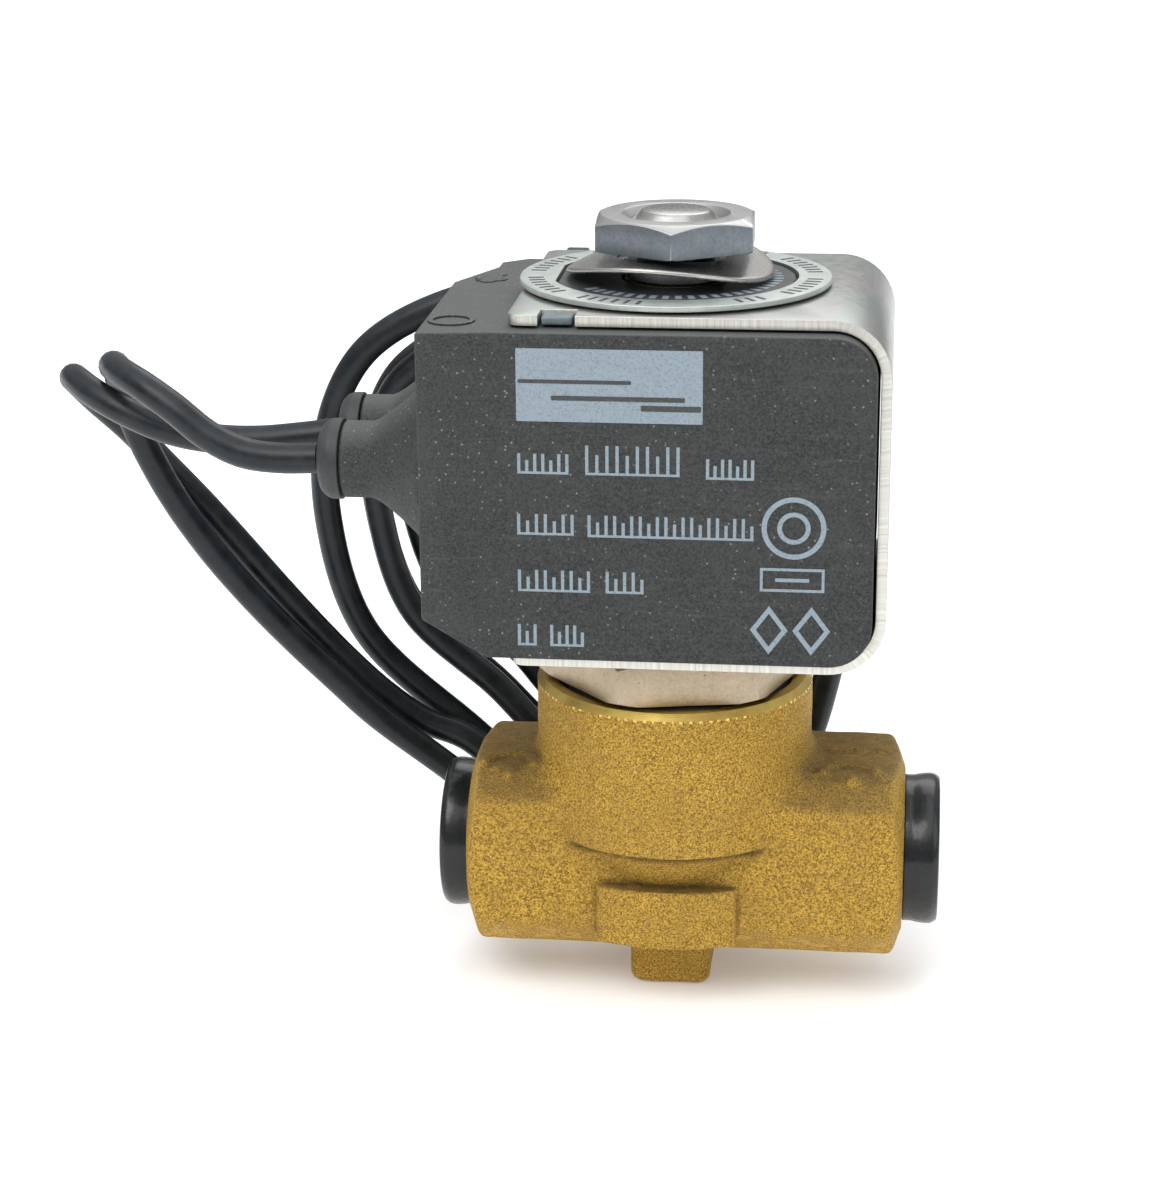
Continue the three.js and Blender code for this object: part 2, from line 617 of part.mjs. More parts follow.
add('valve_body', valveBody(), forgedBrass());
add('body_seal', bodySeal(), blackRubber());

const rightPlug = add('right_port_plug', portPlug(), glossBlack());
rightPlug.position.x = RIGHT_PLUG_STANDS_OUT;
const leftPlug = add('left_port_plug', portPlug(), glossBlack());
leftPlug.rotation.z = Math.PI;
leftPlug.position.x = BLOCK.x0 + BLOCK.x1;

add('enclosing_tube', enclosingTube(), nickelSteel());
add('fixed_core', fixedCore(), stainless());
add('shading_ring', shadingRing(), copper());
add('plunger', plunger(), stainless());
add('plunger_seal', plungerSeal(), blackRubber());
add('return_spring', returnSpring(), stainless());

const coil = new THREE.Group();
group.add(coil);
add('coil_housing', coilHousing(), blackPlastic(), coil);
add('bobbin', bobbin(), blackPlastic(), coil);
add('winding', winding(), copper(), coil);
add('yoke', yoke(), zincSteel(), coil);
add('yoke_key', yokeKey(), blackPlastic(), coil);
add('lower_coil_seal', coilSeal(COIL.z0 - 0.6), blackRubber(), coil);
add('upper_coil_seal', coilSeal(COIL.z1 + 0.45), blackRubber(), coil);
for (const side of ['front', 'rear']) {
  add(`${side}_lead_crimp`, leadCrimp(OUTLET_Y[side]), copper(), coil);
  add(`${side}_outlet_cap`, outletCap(OUTLET_Y[side]), blackPlastic(), coil);
  add(`${side}_lead`, lead(side), leadSheath(), coil);
  add(`${side}_lead_end`, leadEnd(side), copper(), coil);
}
add('lead_tie', leadTie(), blackPlastic(), coil);

add('nameplate_ring', nameplate(), finish(0xa9aca2, 0.5, 0.6));
add('top_disc', topDisc(), finish(0x4b4f50, 0.6, 0.0));
add('spring_washer', springWasher(), zincSteel());
add('clamp_nut', clampNut(), zincSteel());

export default group;
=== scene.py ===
"""The looks of a small direct-acting solenoid valve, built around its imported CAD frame.

Sizes are in millimetres in the part's own frame, unless a name or comment says otherwise.
The origin is on the plunger axis at the underside of the foot, X runs along the ports,
-Y faces the viewer and Z is up. MM turns a size into Blender's metres.
"""

import math

import bmesh
import bpy
import numpy as np
from mathutils import Matrix, Vector, noise


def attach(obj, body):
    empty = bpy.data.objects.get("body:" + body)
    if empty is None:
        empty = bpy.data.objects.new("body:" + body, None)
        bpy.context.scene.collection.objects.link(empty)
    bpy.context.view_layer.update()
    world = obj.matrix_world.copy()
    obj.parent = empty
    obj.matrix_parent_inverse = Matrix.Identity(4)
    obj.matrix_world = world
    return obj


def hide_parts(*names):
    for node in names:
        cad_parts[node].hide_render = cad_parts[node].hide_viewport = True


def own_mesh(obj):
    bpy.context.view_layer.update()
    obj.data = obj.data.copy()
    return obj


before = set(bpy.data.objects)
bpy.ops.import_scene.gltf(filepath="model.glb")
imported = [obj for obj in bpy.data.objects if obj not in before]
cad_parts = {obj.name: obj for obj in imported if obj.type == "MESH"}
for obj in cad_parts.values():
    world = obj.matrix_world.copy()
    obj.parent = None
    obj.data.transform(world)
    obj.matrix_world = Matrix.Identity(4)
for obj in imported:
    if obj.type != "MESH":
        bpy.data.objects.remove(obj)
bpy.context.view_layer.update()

MM = 0.001
PORT_Z = 16.0  # height of the port axis
BARREL_Z = (19.8, 37.0)  # the round barrel's lower edge and top face


def new_object(name, data):
    obj = bpy.data.objects.new(name, data)
    bpy.context.scene.collection.objects.link(obj)
    return obj


# ------------------------------------------------------------------ camera

CAMERA_AT = (24.589, -302.035, 143.470)
CAMERA_YAW = 6.697  # degrees to the left of +Y
CAMERA_PITCH = 17.780  # degrees down
CAMERA_ROLL = -0.459
SENSOR_WIDTH = 36.0
FOCAL_OVER_WIDTH = 2.41379


def add_camera():
    yaw, pitch, roll = (math.radians(a) for a in (CAMERA_YAW, CAMERA_PITCH, CAMERA_ROLL))
    ahead = Vector((-math.sin(yaw) * math.cos(pitch), math.cos(yaw) * math.cos(pitch), -math.sin(pitch)))
    level = Vector((math.cos(yaw), math.sin(yaw), 0))
    above = level.cross(ahead)
    right = level * math.cos(roll) + above * math.sin(roll)
    up = above * math.cos(roll) - level * math.sin(roll)
    data = bpy.data.cameras.new("camera")
    data.sensor_fit = "HORIZONTAL"
    data.sensor_width = SENSOR_WIDTH
    data.lens = SENSOR_WIDTH * FOCAL_OVER_WIDTH
    data.clip_start = 0.01
    data.clip_end = 20
    camera = new_object("camera", data)
    turn = Matrix((right, up, -ahead)).transposed().to_4x4()
    camera.matrix_world = Matrix.Translation(Vector(CAMERA_AT) * MM) @ turn
    bpy.context.scene.camera = camera


add_camera()

# ------------------------------------------------------------- lead routes
# The same points as the CAD leads: a free run, then 2.25 turns of a standing loop.

LEAD_RADIUS = 1.7
LEAD_STEP = 0.9

FREE_RUN = {
    "front": [
        (-38.1, -12.0, 64.3), (-42.5, -12.0, 64.2), (-46.6, -11.9, 64.7), (-50.6, -11.4, 66.5),
        (-54.4, -10.5, 69.2), (-58.0, -8.9, 71.1), (-61.2, -6.0, 71.9), (-63.2, -2.4, 71.8),
        (-64.2, 1.6, 70.9), (-65.1, 5.6, 69.2), (-65.3, 8.6, 65.5), (-64.2, 10.1, 60.5),
        (-61.4, 11.5, 53.5), (-57.6, 13.1, 46.5), (-53.3, 14.6, 40.2), (-48.4, 16.0, 34.1),
        (-43.4, 17.3, 28.5), (-38.5, 18.6, 23.2),
    ],
    "rear": [
        (-38.1, 0.0, 64.1), (-42.5, -0.1, 63.5), (-47.5, -0.2, 63.0), (-52.5, -0.3, 63.1),
        (-57.6, -0.1, 63.9), (-62.6, 0.7, 65.6), (-67.0, 2.8, 67.2), (-70.3, 6.4, 68.0),
        (-71.8, 11.0, 66.9), (-70.7, 14.7, 63.7), (-67.2, 16.3, 59.7), (-63.0, 16.6, 55.1),
        (-59.0, 17.0, 50.6), (-54.9, 17.8, 45.4), (-51.0, 18.9, 40.1), (-47.0, 20.1, 34.8),
        (-42.7, 21.5, 29.4), (-38.1, 22.7, 24.5), (-33.3, 23.4, 20.8),
    ],
}
LOOP = [
    (-28.5, 18.3), (-18.5, 9.6), (-6.5, 4.7), (5.0, 9.0), (12.0, 19.0), (15.4, 30.0),
    (17.3, 43.0), (15.0, 56.5), (7.5, 67.6), (-4.5, 74.0), (-18.5, 75.6), (-31.0, 72.8),
    (-40.0, 67.1), (-44.7, 57.8), (-45.3, 45.6), (-41.4, 31.3),
]
LOOP_CENTRE = (-14.0, 42.0)
LOOP_TURNS = 2.25
INSET = {
    "front": [(0, -3.0), (0.6, -0.6), (0.9, 0.0), (1.6, 3.7), (1.9, 5.6), (2.5, 7.8)],
    "rear": [
        (0, 0.6), (0.15, 2.0), (0.6, 3.9), (0.85, 6.4), (1.0, 6.8), (1.6, 8.2), (1.9, 10.2), (2.5, 13.4),
    ],
}
DEPTH = {
    "front": [(0, 20.8), (1, 27.3), (2.5, 34.8)],
    "rear": [(0, 23.5), (1, 28.4), (2.5, 35.8)],
}


def value_at(pairs, turns):
    for (t0, v0), (t1, v1) in zip(pairs, pairs[1:]):
        if turns <= t1:
            return v0 + (v1 - v0) * (turns - t0) / (t1 - t0)
    return pairs[-1][1]


def lead_points(side):
    points = [Vector(p) for p in FREE_RUN[side]]
    for i in range(round(LOOP_TURNS * len(LOOP)) + 1):
        turns = i / len(LOOP)
        x, z = LOOP[i % len(LOOP)]
        towards_centre = Vector((LOOP_CENTRE[0] - x, LOOP_CENTRE[1] - z)).normalized()
        inward = towards_centre * value_at(INSET[side], turns)
        points.append(Vector((x + inward.x, value_at(DEPTH[side], turns), z + inward.y)))
    return points


def smooth_line(points, step):
    """The centripetal Catmull-Rom curve through the points, as points about one step apart."""
    ends = [2 * points[0] - points[1], *points, 2 * points[-1] - points[-2]]
    line = [points[0]]
    for p0, p1, p2, p3 in zip(ends, ends[1:], ends[2:], ends[3:]):
        gaps = [math.sqrt((b - a).length) for a, b in ((p0, p1), (p1, p2), (p2, p3))]
        start = (p1 - p0) / gaps[0] - (p2 - p0) / (gaps[0] + gaps[1]) + (p2 - p1) / gaps[1]
        end = (p2 - p1) / gaps[1] - (p3 - p1) / (gaps[1] + gaps[2]) + (p3 - p2) / gaps[2]
        start, end = start * gaps[1], end * gaps[1]
        bend = 3 * (p2 - p1) - 2 * start - end
        twist = 2 * (p1 - p2) + start + end
        count = max(2, round((p2 - p1).length / step))
        for k in range(1, count + 1):
            t = k / count
            line.append(p1 + start * t + bend * t**2 + twist * t**3)
    return line


def curve_object(name, lines, radius, sides=5):
    """Round bars along lists of points, as one curve object."""
    data = bpy.data.curves.new(name, "CURVE")
    data.dimensions = "3D"
    data.bevel_depth = 1.0  # times each point's own radius
    data.bevel_resolution = sides
    data.use_fill_caps = True
    for line in lines:
        spline = data.splines.new("POLY")
        spline.points.add(len(line) - 1)
        for point, at in zip(spline.points, line):
            point.co = (*(Vector(at) * MM), 1)
            point.radius = radius * MM
    return new_object(name, data)


LEAD_LINES = {side: smooth_line(lead_points(side), LEAD_STEP) for side in ("front", "rear")}


def lead_sheath(side):
    line = LEAD_LINES[side]
    sheath = curve_object(f"{side}_lead_sheath", [line], LEAD_RADIUS, 6)
    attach(sheath, "coil_assembly")
    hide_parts(f"{side}_lead")
    return sheath


def lead_strands(side):
    """The bared tip: one straight wire with six twisted round it."""
    wire, reach, twist, gap, steps = 0.29, 6.0, 1.1, 0.3, 24
    line = LEAD_LINES[side]
    ahead = (line[-1] - line[-2]).normalized()
    across = ahead.orthogonal().normalized()
    other = ahead.cross(across)
    start = line[-1] - ahead * gap
    lines = [[start, start + ahead * (reach + gap)]]
    for k in range(6):
        strand = []
        for i in range(steps + 1):
            angle = math.tau * (k / 6 + twist * i / steps)
            out = (across * math.cos(angle) + other * math.sin(angle)) * 2 * wire
            strand.append(start + ahead * (reach + gap) * i / steps + out)
        lines.append(strand)
    strands = curve_object(f"{side}_lead_strands", lines, wire, 2)
    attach(strands, "coil_assembly")
    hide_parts(f"{side}_lead_end")
    return strands


sheaths = {side: lead_sheath(side) for side in LEAD_LINES}
strands = {side: lead_strands(side) for side in LEAD_LINES}

# ------------------------------------------------------------ mesh helpers


def make_object(name, vertices, faces):
    mesh = bpy.data.meshes.new(name)
    mesh.from_pydata([Vector(v) * MM for v in vertices], [], faces)
    builder = bmesh.new()
    builder.from_mesh(mesh)
    bmesh.ops.recalc_face_normals(builder, faces=builder.faces)
    builder.to_mesh(mesh)
    builder.free()
    return new_object(name, mesh)


def settle(obj):
    """Applies the modifiers so far."""
    evaluated = obj.evaluated_get(bpy.context.evaluated_depsgraph_get())
    mesh = bpy.data.meshes.new_from_object(evaluated)
    obj.modifiers.clear()
    obj.data = mesh
    return obj


def combine(base, operation, *tools):
    """UNION, DIFFERENCE or INTERSECT with other closed meshes, which are used up."""
    for tool in tools:
        modifier = base.modifiers.new(operation, "BOOLEAN")
        modifier.operation = operation
        modifier.solver = "MANIFOLD"
        modifier.object = tool
        settle(base)
        bpy.data.objects.remove(tool)
    return base


def soften(obj, width, segments=3, angle=28):
    """Rounds the edges that are sharper than the angle."""
    modifier = obj.modifiers.new("rounded edges", "BEVEL")
    modifier.width = width * MM
    modifier.segments = segments
    modifier.limit_method = "ANGLE"
    modifier.angle_limit = math.radians(angle)
    modifier.use_clamp_overlap = True
    return settle(obj)


def shade(obj, angle=32):
    for face in obj.data.polygons:
        face.use_smooth = True
    obj.data.set_sharp_from_angle(angle=math.radians(angle))
    return obj


def arc(centre, radius, start, end, steps=8):
    """Points on an arc, with angles in degrees."""
    angles = [math.radians(start + (end - start) * i / steps) for i in range(steps + 1)]
    return [(centre[0] + radius * math.cos(a), centre[1] + radius * math.sin(a)) for a in angles]


def filleted(points, radius, closed=False, steps=4):
    """The same line with its corners rounded. An open line keeps its two ends."""
    out = []
    count = len(points)
    for i, point in enumerate(points):
        corner = Vector(point)
        at_end = not closed and i in (0, count - 1)
        before = Vector(points[i - 1]) - corner
        after = Vector(points[(i + 1) % count]) - corner
        reach = min(radius, 0.45 * before.length, 0.45 * after.length)
        if at_end or reach < 0.01:
            out.append(tuple(corner))
            continue
        a, b = corner + before.normalized() * reach, corner + after.normalized() * reach
        for k in range(steps + 1):
            t = k / steps
            out.append(tuple(a * (1 - t) ** 2 + corner * 2 * t * (1 - t) + b * t**2))
    return out


def turned(name, profile, segments=96, axis="Z", at=(0, 0), closed=False):
    """A shape of revolution from (radius, height) pairs. With axis X, heights are X values and
    at is the axis's Y and Z; with axis Z, at is its X and Y."""
    vertices, rings = [], []
    for radius, height in profile:
        spots = arc((0, 0), radius, 0, 360, segments)[:-1] if radius > 1e-6 else [(0, 0)]
        rings.append(list(range(len(vertices), len(vertices) + len(spots))))
        for a, b in spots:
            a, b = at[0] + a, at[1] + b
            vertices.append((height, a, b) if axis == "X" else (a, b, height))
    faces = []
    pairs = list(zip(rings, rings[1:])) + ([(rings[-1], rings[0])] if closed else [])
    for low, high in pairs:
        for k in range(segments):
            n = (k + 1) % segments
            corners = [low[k % len(low)], low[n % len(low)], high[n % len(high)], high[k % len(high)]]
            unique = list(dict.fromkeys(corners))
            if len(unique) > 2:
                faces.append(unique)
    return make_object(name, vertices, faces)


def thread_line(first, second, pitch, turns):
    """A zigzag profile: two (radius, height) points, again for every turn."""
    return [(radius, at + pitch * turn) for turn in range(turns) for radius, at in (first, second)]


def drum(name, radius, low, high, segments=96, **placing):
    """A closed cylinder, placed like a turned shape."""
    return turned(name, [(0, low), (radius, low), (radius, high), (0, high)], segments, **placing)


def prism(name, outline, low, high, axis="Z"):
    """An outline drawn square to an axis and drawn out along it.
    The outline is X and Z for axis Y, X and Y for axis Z, and Y and Z for axis X."""
    place = {
        "X": lambda a, b, c: (c, a, b),
        "Y": lambda a, b, c: (a, c, b),
        "Z": lambda a, b, c: (a, b, c),
    }[axis]
    count = len(outline)
    vertices = [place(a, b, end) for end in (low, high) for a, b in outline]
    faces = [list(range(count)), list(range(count, 2 * count))]
    faces += [[i, (i + 1) % count, count + (i + 1) % count, count + i] for i in range(count)]
    return make_object(name, vertices, faces)


def block(name, x0, x1, y0, y1, z0, z1):
    return prism(name, [(x0, y0), (x1, y0), (x1, y1), (x0, y1)], z0, z1)


def hexagon(across_flats, turn):
    return arc((0, 0), across_flats / math.sqrt(3), turn - 90, turn + 270, 6)[:-1]


def two_materials(obj, first, second, has_second):
    """Gives the faces that pass the test the second material, and the rest the first."""
    obj.data.materials.clear()
    obj.data.materials.append(first)
    obj.data.materials.append(second)
    for face in obj.data.polygons:
        face.material_index = int(has_second(face))


def keep_piece(obj, body, nodes, slot, *materials):
    """Puts a finished mesh on its body in place of its CAD nodes."""
    if materials:
        obj.data.materials.clear()
    for material in materials:
        obj.data.materials.append(material)
    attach(obj, body)
    if nodes:
        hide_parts(*nodes)
    return obj


# --------------------------------------------------------------- materials


class Look:
    """A material being built from one Principled shader. Sizes are in millimetres."""

    def __init__(self, name, **shader_values):
        self.material = bpy.data.materials.new(name)
        self.material.use_nodes = True
        self.tree = self.material.node_tree
        self.shader = self.tree.nodes["Principled BSDF"]
        self.place = self.add("ShaderNodeTexCoord").outputs["Object"]
        for socket, value in shader_values.items():
            self.shader.inputs[socket.replace("_", " ")].default_value = value

    def add(self, kind, sockets=None, **settings):
        """A new node, with numbers or other nodes' outputs put into its sockets."""
        node = self.tree.nodes.new(kind)
        for key, value in settings.items():
            setattr(node, key, value)
        for key, value in (sockets or {}).items():
            self.put(node.inputs[key], value)
        return node

    def put(self, socket, value):
        if isinstance(value, bpy.types.NodeSocket):
            self.tree.links.new(value, socket)
        elif value is not None:
            socket.default_value = value

    def sized(self, size, stretch=(1, 1, 1), place=None):
        """The place to look a pattern up at, so that its features come out this size."""
        sockets = {"Vector": place or self.place, "Scale": [1 / (size * MM * s) for s in stretch]}
        return self.add("ShaderNodeMapping", sockets).outputs["Vector"]

    def cloud(self, size, detail=3.0, rough=0.55, stretch=(1, 1, 1), place=None, twist=0.0):
        sockets = {"Vector": self.sized(size, stretch, place), "Scale": 1.0}
        sockets |= {"Detail": detail, "Roughness": rough, "Distortion": twist}
        return self.add("ShaderNodeTexNoise", sockets).outputs["Fac"]

    def grains(self, size):
        sockets = {"Vector": self.sized(size), "Scale": 1.0}
        return self.add("ShaderNodeTexVoronoi", sockets).outputs["Distance"]

    def spread(self, value, low, high, start=0.0, end=1.0):
        sockets = {"Value": value, "From Min": low, "From Max": high, "To Min": start, "To Max": end}
        return self.add("ShaderNodeMapRange", sockets).outputs["Result"]

    def vary(self, pattern, start, end):
        """A number that follows a pattern, most of which lies between 0.3 and 0.7."""
        return self.spread(pattern, 0.3, 0.7, start, end)

    def blend(self, share, first, second):
        first, second = ((*c, 1) if isinstance(c, tuple) else c for c in (first, second))
        return self.add("ShaderNodeMix", {0: share, 6: first, 7: second}, data_type="RGBA").outputs[2]

    def tint(self, value, low, high, first, second):
        """The first colour at the low value, running into the second at the high value."""
        return self.blend(self.spread(value, low, high), first, second)

    def wash(self, colour, value, low, high, most, over):
        """A colour with a share of another laid over it, rising to the most at the high value."""
        return self.blend(self.spread(value, low, high, 0.0, most), colour, over)

    def maths(self, operation, first, second=None):
        return self.add("ShaderNodeMath", {0: first, 1: second}, operation=operation).outputs[0]

    def relief(self, height, depth, normal=None):
        sockets = {"Distance": depth * MM, "Height": height, "Normal": normal}
        return self.add("ShaderNodeBump", sockets).outputs["Normal"]

    def facing(self, axis):
        """How far the surface faces along an axis of the object, from -1 to 1."""
        normal = self.add("ShaderNodeTexCoord").outputs["Normal"]
        return self.add("ShaderNodeSeparateXYZ", {0: normal}).outputs[axis]

    def edges(self):
        return self.add("ShaderNodeNewGeometry").outputs["Pointiness"]

    def from_axis(self, along="Z", at=(0, 0)):
        """The distance from a line along an axis, as a point to look a pattern up by."""
        shift = (at[0], at[1], 0) if along == "Z" else (0, at[0], at[1])
        keep = (1, 1, 0) if along == "Z" else (0, 1, 1)
        shift = [v * MM for v in shift]
        moved = self.add("ShaderNodeVectorMath", {0: self.place, 1: shift}, operation="SUBTRACT")
        flat = self.add("ShaderNodeVectorMath", {0: moved.outputs[0], 1: keep}, operation="MULTIPLY")
        radius = self.add("ShaderNodeVectorMath", {0: flat.outputs[0]}, operation="LENGTH")
        return self.add("ShaderNodeCombineXYZ", {0: radius.outputs["Value"]}).outputs[0]

    def done(self, colour, roughness, normal=None):
        for key, value in (("Base Color", colour), ("Roughness", roughness), ("Normal", normal)):
            self.put(self.shader.inputs[key], value)
        return self.material


def painted_ledge_shadow(look):
    """Painted shadow on the block just below the barrel's lower edge, as a share from 0 to 1."""
    place = look.add("ShaderNodeSeparateXYZ", {0: look.place})
    height = place.outputs[2]
    edge = BARREL_Z[0]
    near = look.spread(height, (edge - 1.6) * MM, (edge - 0.7) * MM, 0.0, 0.85)
    below = look.spread(height, (edge - 0.05) * MM, (edge + 0.05) * MM, 1.0, 0.0)
    sideways = look.maths("ABSOLUTE", place.outputs[0])
    middle = look.spread(sideways, 9.0 * MM, 12.0 * MM, 1.0, 0.0)
    return look.maths("MULTIPLY", look.maths("MULTIPLY", near, below), middle)


def forged_brass():
    """Sand-blasted forging: coarse speckle, with brown painted shade on faces that point up, in hollows
    and under the barrel's lower edge.
    """
    look = Look("forged_brass", Metallic=0.55)
    speckle = look.cloud(0.21, 3, 0.75)
    patches = look.cloud(6.0, 3, 0.6)
    pits = look.grains(0.5)
    colour = look.tint(speckle, 0.38, 0.62, (0.17, 0.095, 0.013), (0.80, 0.50, 0.085))
    colour = look.wash(colour, patches, 0.35, 0.7, 0.35, (0.34, 0.21, 0.045))
    # Painted shade: faces that point up are darkened to brown, in patches.
    painted_top_shade = look.spread(look.facing(2), 0.25, 0.85, 0.0, 0.78)
    painted_top_shade = look.maths("MULTIPLY", painted_top_shade, look.spread(look.cloud(1.1, 4, 0.7), 0.3, 0.6, 0.45, 1.0))
    colour = look.blend(painted_top_shade, colour, (0.155, 0.105, 0.045))
    # Painted shadow under the barrel's lower edge.
    colour = look.blend(painted_ledge_shadow(look), colour, (0.075, 0.045, 0.012))
    # Painted shade: the least pointy spots, in hollows and creases, are darkened.
    colour = look.blend(look.spread(look.edges(), 0.43, 0.492, 0.9, 0.0), colour, (0.075, 0.045, 0.012))
    colour = look.wash(colour, look.edges(), 0.53, 0.64, 0.3, (0.80, 0.54, 0.15))
    rough = look.vary(speckle, 0.72, 0.50)
    normal = look.relief(speckle, 0.22)
    normal = look.relief(look.spread(pits, 0.0, 0.35), 0.06, normal)
    return look.done(colour, rough, normal)


def machined_brass():
    """Turned faces, with fine rings round the plunger axis and round the ports."""
    look = Look("machined_brass", Metallic=0.95)
    rings = look.cloud(0.09, 2, 0.6, place=look.from_axis())
    port_rings = look.cloud(0.12, 2, 0.6, place=look.from_axis("X", (0, PORT_Z)))
    sideways = look.maths("ABSOLUTE", look.facing(0))
    lines = look.tint(sideways, 0.4, 0.6, rings, port_rings)
    tint = look.cloud(2.4, 3, 0.6)
    colour = look.tint(tint, 0.3, 0.7, (0.82, 0.60, 0.17), (0.66, 0.45, 0.12))
    return look.done(colour, look.vary(lines, 0.22, 0.42), look.relief(lines, 0.012))


def coil_plastic():
    """Black filled plastic gone grey: fine grain, pale specks and faint level scuffs, and painted light on
    the faces that point up.
    """
    look = Look("coil_plastic", Specular_IOR_Level=0.35)
    grain = look.cloud(0.24, 4, 0.65)
    clouds = look.cloud(9.0, 4, 0.6)
    scuffs = look.cloud(0.5, 3, 0.6, stretch=(14, 6, 1))
    specks = look.grains(0.85)
    colour = look.tint(grain, 0.34, 0.66, (0.010, 0.013, 0.014), (0.052, 0.054, 0.054))
    colour = look.wash(colour, clouds, 0.38, 0.72, 0.4, (0.055, 0.055, 0.052))
    colour = look.wash(colour, scuffs, 0.56, 0.75, 0.3, (0.085, 0.085, 0.08))
    # Painted light: faces that point up are made paler grey.
    painted_top_light = look.spread(look.facing(2), 0.5, 0.9, 0.0, 0.6)
    colour = look.blend(painted_top_light, colour, (0.120, 0.125, 0.122))
    dots = look.spread(specks, 0.08, 0.16, 1.0, 0.0)
    crowding = look.spread(clouds, 0.40, 0.56, 0.15, 0.8)
    colour = look.blend(look.maths("MULTIPLY", dots, crowding), colour, (0.27, 0.27, 0.26))
    colour = look.wash(colour, look.edges(), 0.53, 0.62, 0.35, (0.15, 0.15, 0.145))
    rough = look.vary(grain, 0.72, 0.52)
    normal = look.relief(grain, 0.08)
    normal = look.relief(scuffs, 0.02, normal)
    return look.done(colour, rough, normal)


def print_ink():
    """Pale grey-blue ink, thin enough in places for the plastic's grain to show."""
    look = Look("print_ink")
    worn = look.cloud(0.22, 3, 0.7)
    broad = look.cloud(1.7, 3, 0.6)
    colour = look.wash((0.25, 0.31, 0.355), worn, 0.50, 0.72, 0.75, (0.11, 0.13, 0.145))
    colour = look.wash(colour, broad, 0.4, 0.7, 0.3, (0.21, 0.26, 0.30))
    return look.done(colour, look.vary(worn, 0.5, 0.7), look.relief(worn, 0.02))


def dark_ink():
    look = Look("dark_ink")
    worn = look.cloud(0.2, 3, 0.7)
    colour = look.wash((0.035, 0.038, 0.04), worn, 0.5, 0.75, 0.6, (0.13, 0.14, 0.14))
    return look.done(colour, look.vary(worn, 0.45, 0.65))


def zinc_sheet():
    """Bright zinc-plated sheet, faintly green and pink, with long rolling marks."""
    look = Look("zinc_sheet", Metallic=0.8)
    films = look.cloud(7.0, 3, 0.55, twist=0.6)
    rolling = look.cloud(0.16, 3, 0.6, stretch=(60, 1, 60))
    haze = look.cloud(1.3, 4, 0.6)
    colour = look.tint(films, 0.35, 0.65, (0.365, 0.42, 0.385), (0.455, 0.41, 0.41))
    colour = look.wash(colour, haze, 0.35, 0.8, 0.3, (0.34, 0.36, 0.345))
    rough = look.vary(haze, 0.26, 0.38)
    rough = look.maths("ADD", rough, look.vary(rolling, 0.0, 0.06))
    return look.done(colour, rough, look.relief(rolling, 0.003))


def sheared_edge():
    """The cut edge of the sheet: short streaks across its thickness."""
    look = Look("sheared_edge", Metallic=0.75)
    run = look.add("ShaderNodeAttribute", attribute_name="run").outputs["Fac"]
    place = look.add("ShaderNodeCombineXYZ", {0: run}).outputs[0]
    streaks = look.cloud(0.45, 4, 0.75, place=place)
    broad = look.cloud(2.2, 3, 0.6, place=place)
    colour = look.tint(streaks, 0.34, 0.64, (0.50, 0.48, 0.44), (0.82, 0.79, 0.72))
    colour = look.wash(colour, broad, 0.4, 0.7, 0.5, (0.72, 0.76, 0.68))
    return look.done(colour, look.vary(streaks, 0.5, 0.3), look.relief(streaks, 0.05))


def nickelled_steel():
    """Warm, matt nickel plate with small pits."""
    look = Look("nickelled_steel", Metallic=0.9)
    broad = look.cloud(3.0, 4, 0.6)
    fine = look.cloud(0.3, 3, 0.6)
    pits = look.grains(1.1)
    colour = look.tint(broad, 0.3, 0.7, (0.50, 0.40, 0.28), (0.42, 0.35, 0.255))
    colour = look.blend(look.spread(pits, 0.06, 0.13, 0.6, 0.0), colour, (0.20, 0.165, 0.12))
    colour = look.wash(colour, fine, 0.42, 0.7, 0.35, (0.33, 0.28, 0.21))
    rough = look.vary(fine, 0.36, 0.55)
    normal = look.relief(fine, 0.04)
    normal = look.relief(look.spread(pits, 0.0, 0.2), 0.04, normal)
    return look.done(colour, rough, normal)


def turned_steel(name, light, dark, side, polish):
    """Plated steel: fine turning rings on its end faces, duller on its sides, whose tone is painted:
    painted shade on the core and the nut, painted light on the washer. Its edges get a painted highlight.
    """
    look = Look(name, Metallic=1.0)
    rings = look.cloud(0.11, 3, 0.7, place=look.from_axis())
    smears = look.cloud(2.0, 4, 0.6)
    nicks = look.cloud(0.4, 3, 0.7)
    # Painted light and shade: faces that point up take the top colours, the others take the side colour.
    upward = look.spread(look.facing(2), 0.15, 0.55)
    top = look.tint(rings, 0.3, 0.7, light, dark)
    painted_side_tone = look.tint(nicks, 0.35, 0.7, side, tuple(0.8 * part for part in side))
    colour = look.blend(upward, painted_side_tone, top)
    colour = look.wash(colour, smears, 0.45, 0.75, 0.3, dark)
    # Painted highlight: convex edges are washed near white.
    colour = look.wash(colour, look.edges(), 0.54, 0.62, 0.7, (0.85, 0.84, 0.80))
    rough = look.vary(rings, polish, polish + 0.14)
    rough = look.maths("ADD", rough, look.spread(nicks, 0.5, 0.8, 0.0, 0.15))
    return look.done(colour, rough, look.relief(look.maths("MULTIPLY", rings, upward), 0.012))


def gloss_plastic():
    """Shiny moulded polythene with a faint orange peel and handling marks."""
    look = Look("plug_plastic", Specular_IOR_Level=0.33, Coat_Weight=0.25, Coat_Roughness=0.12)
    peel = look.cloud(1.4, 2, 0.5)
    marks = look.cloud(0.25, 4, 0.7, stretch=(1, 6, 2))
    rubbed = look.spread(marks, 0.55, 0.8, 0.0, 0.5)
    colour = look.blend(rubbed, (0.006, 0.007, 0.008), (0.022, 0.025, 0.028))
    return look.done(colour, look.spread(marks, 0.3, 0.8, 0.24, 0.42), look.relief(peel, 0.05))


